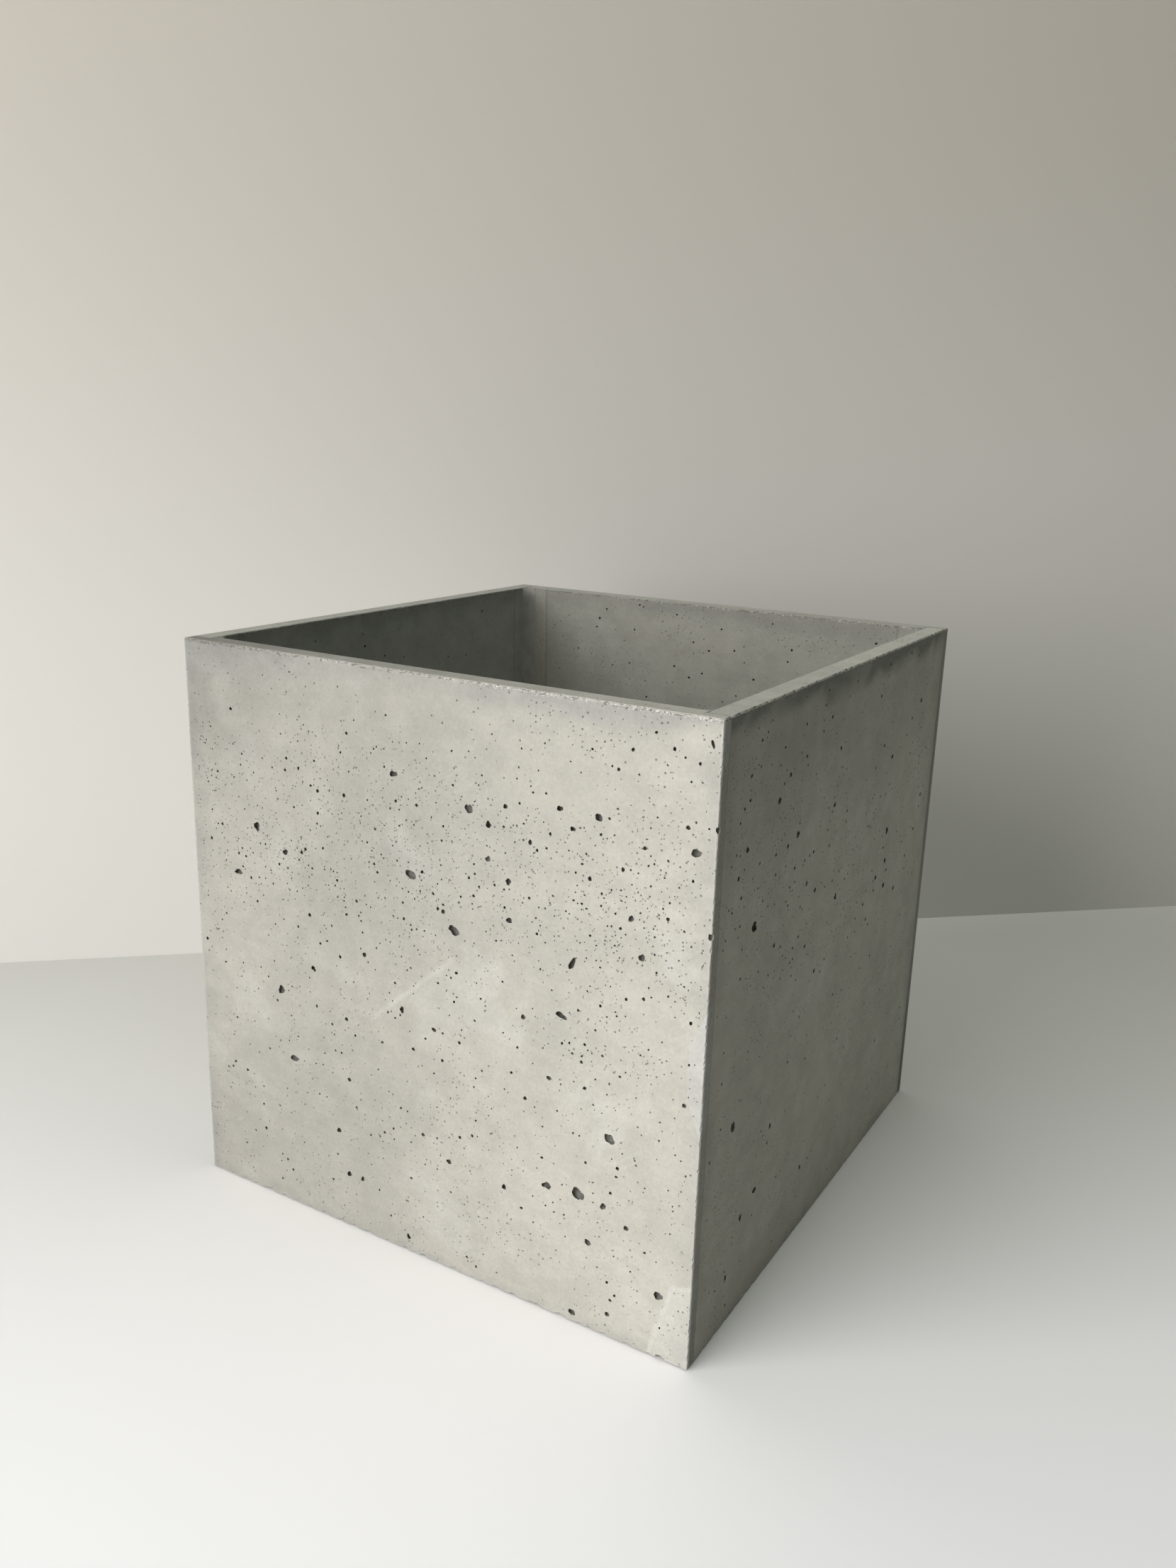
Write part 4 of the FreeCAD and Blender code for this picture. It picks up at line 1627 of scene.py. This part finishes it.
mortar = plain_mortar(
    "mortar_cove", light=(0.36, 0.355, 0.33), dark=(0.28, 0.278, 0.26), cloud_scale=70.0)
adhesive = plain_mortar(
    "joint_adhesive_bed", light=(0.42, 0.41, 0.38), dark=(0.30, 0.295, 0.275), cloud_scale=160.0)
scrim_finish = glass_scrim("scrim_glass")
sleeve_finish = moulded(
    "sleeve_grey_plastic", light=(0.30, 0.30, 0.29), dark=(0.17, 0.17, 0.168), roughness=(0.38, 0.6))
plug_finish = moulded(
    "plug_black_rubber", light=(0.085, 0.083, 0.08), dark=(0.022, 0.022, 0.023), roughness=(0.5, 0.75))
pad_finish = moulded(
    "pad_black_rubber", light=(0.10, 0.098, 0.094), dark=(0.025, 0.025, 0.025), roughness=(0.6, 0.85))
for cove in coves:
    dress(cove, mortar)
dress(sleeve, sleeve_finish)
dress(plug, plug_finish)
for pad in pads:
    dress(pad, pad_finish)
for name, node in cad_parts.items():
    if "_bond" in name:
        dress(node, adhesive)
    if "_scrim" in name:
        dress(node, scrim_finish)
dress(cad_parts["base_cove"], mortar)


# The camera, the floor, the backdrop and the light

WALL_NORMAL = Vector((0.671, -0.742, 0)).normalized()
WALL_DISTANCE = 0.297
STAGE_SIZE = 8.0
# Painted light: the floor is lighter near the front and darker away, the backdrop lighter low and darker
# high
FLOOR_NEAR = (1.255, 1.243, 1.29)
FLOOR_FAR = (0.90, 0.87, 0.83)
FLOOR_AWAY = (-0.5, 0.87, 0.0)
FLOOR_PAINTED_FALLOFF = (-0.435, 0.34)
FLOOR_BOUNCE = (0.60, 0.60, 0.575)
WALL_LOW = (0.94, 0.915, 0.885)
WALL_HIGH = (0.70, 0.655, 0.60)
WALL_AWAY = (0.0, 0.0, 1.0)
WALL_PAINTED_FALLOFF = (0.1, 0.75)


def stage_finish(name, away, painted_falloff, near, far, bounce=None):
    """A plain stage, seen from its front: a tone with painted light falling off across it for the camera,
    and one or none for the light.
    """
    finish = Finish(name)
    camera_ray = finish.node("ShaderNodeLightPath", output="Is Camera Ray")
    along = {0: finish.spot, 1: away}
    distance = finish.node("ShaderNodeVectorMath", {"operation": "DOT_PRODUCT"}, along, output="Value")
    painted_light_tint = finish.blend(finish.rise(distance, *painted_falloff), near, far)
    front_side = 1 - finish.node("ShaderNodeNewGeometry", output="Backfacing")
    if bounce:
        painted_light_tint = finish.blend(camera_ray, bounce, painted_light_tint)
    else:
        front_side = front_side * camera_ray
    matt = finish.node("ShaderNodeBsdfDiffuse", {}, {"Color": painted_light_tint})
    clear = finish.node("ShaderNodeBsdfTransparent")
    mixed = finish.node("ShaderNodeMixShader", {}, {0: front_side, 1: clear, 2: matt})
    finish.node("ShaderNodeOutputMaterial", {}, {"Surface": mixed})
    return finish.material


def stage_sheet(name, location, normal, finish):
    """A large flat sheet that faces along its normal."""
    bpy.ops.object.select_all(action="DESELECT")
    turn = normal.to_track_quat("Z", "Y").to_euler()
    bpy.ops.mesh.primitive_plane_add(size=STAGE_SIZE, location=location, rotation=turn)
    sheet = settle(name)
    dress(sheet, finish)


floor_finish = stage_finish("floor_white", FLOOR_AWAY, FLOOR_PAINTED_FALLOFF, FLOOR_NEAR, FLOOR_FAR, FLOOR_BOUNCE)
wall_finish = stage_finish("backdrop_pale", WALL_AWAY, WALL_PAINTED_FALLOFF, WALL_LOW, WALL_HIGH)
stage_sheet("floor", (0, 0, 0), Vector((0, 0, 1)), floor_finish)
stage_sheet("backdrop", -WALL_NORMAL * WALL_DISTANCE, WALL_NORMAL, wall_finish)


def lamp(name, toward, distance, size, power, colour):
    """A square lamp that shines on the middle of the planter."""
    light = bpy.data.lights.new(name, "AREA")
    light.shape = "SQUARE"
    light.size = size
    light.energy = power
    light.color = colour
    holder = bpy.data.objects.new(name, light)
    direction = Vector(toward).normalized()
    holder.location = Vector((0, 0, RIM / 2)) + direction * distance
    holder.rotation_euler = direction.to_track_quat("Z", "Y").to_euler()
    bpy.context.scene.collection.objects.link(holder)


lamp(
    "window_light", toward=(-0.36, -0.88, 0.25), distance=2.3, size=2.0, power=60.0,
    colour=(1.0, 0.985, 0.965))
lamp("sky_light", toward=(0.0, 0.0, 1.0), distance=2.2, size=3.0, power=19.0, colour=(0.95, 1.0, 0.92))

ROOM_COLOUR = (0.95, 1.0, 0.87, 1)
ROOM_STRENGTH = 0.09
world = bpy.data.worlds.new("room_light")
bpy.context.scene.world = world
world.use_nodes = True
world.node_tree.nodes["Background"].inputs["Color"].default_value = ROOM_COLOUR
world.node_tree.nodes["Background"].inputs["Strength"].default_value = ROOM_STRENGTH

camera = bpy.data.objects.new("camera", bpy.data.cameras.new("camera"))
camera.data.sensor_width = SENSOR
camera.data.lens = FOCAL_PIXELS / max(IMAGE_WIDE, IMAGE_TALL) * SENSOR
camera.matrix_world = Matrix((view_right, view_up, view_back)).transposed().to_4x4()
camera.matrix_world.translation = VIEW_PLACE
bpy.context.scene.collection.objects.link(camera)
bpy.context.scene.camera = camera
bpy.context.scene.view_settings.view_transform = "Standard"

# The hollow forms have done their work
for form in round_forms + fine_forms + coarse_forms:
    bpy.data.objects.remove(form, do_unlink=True)
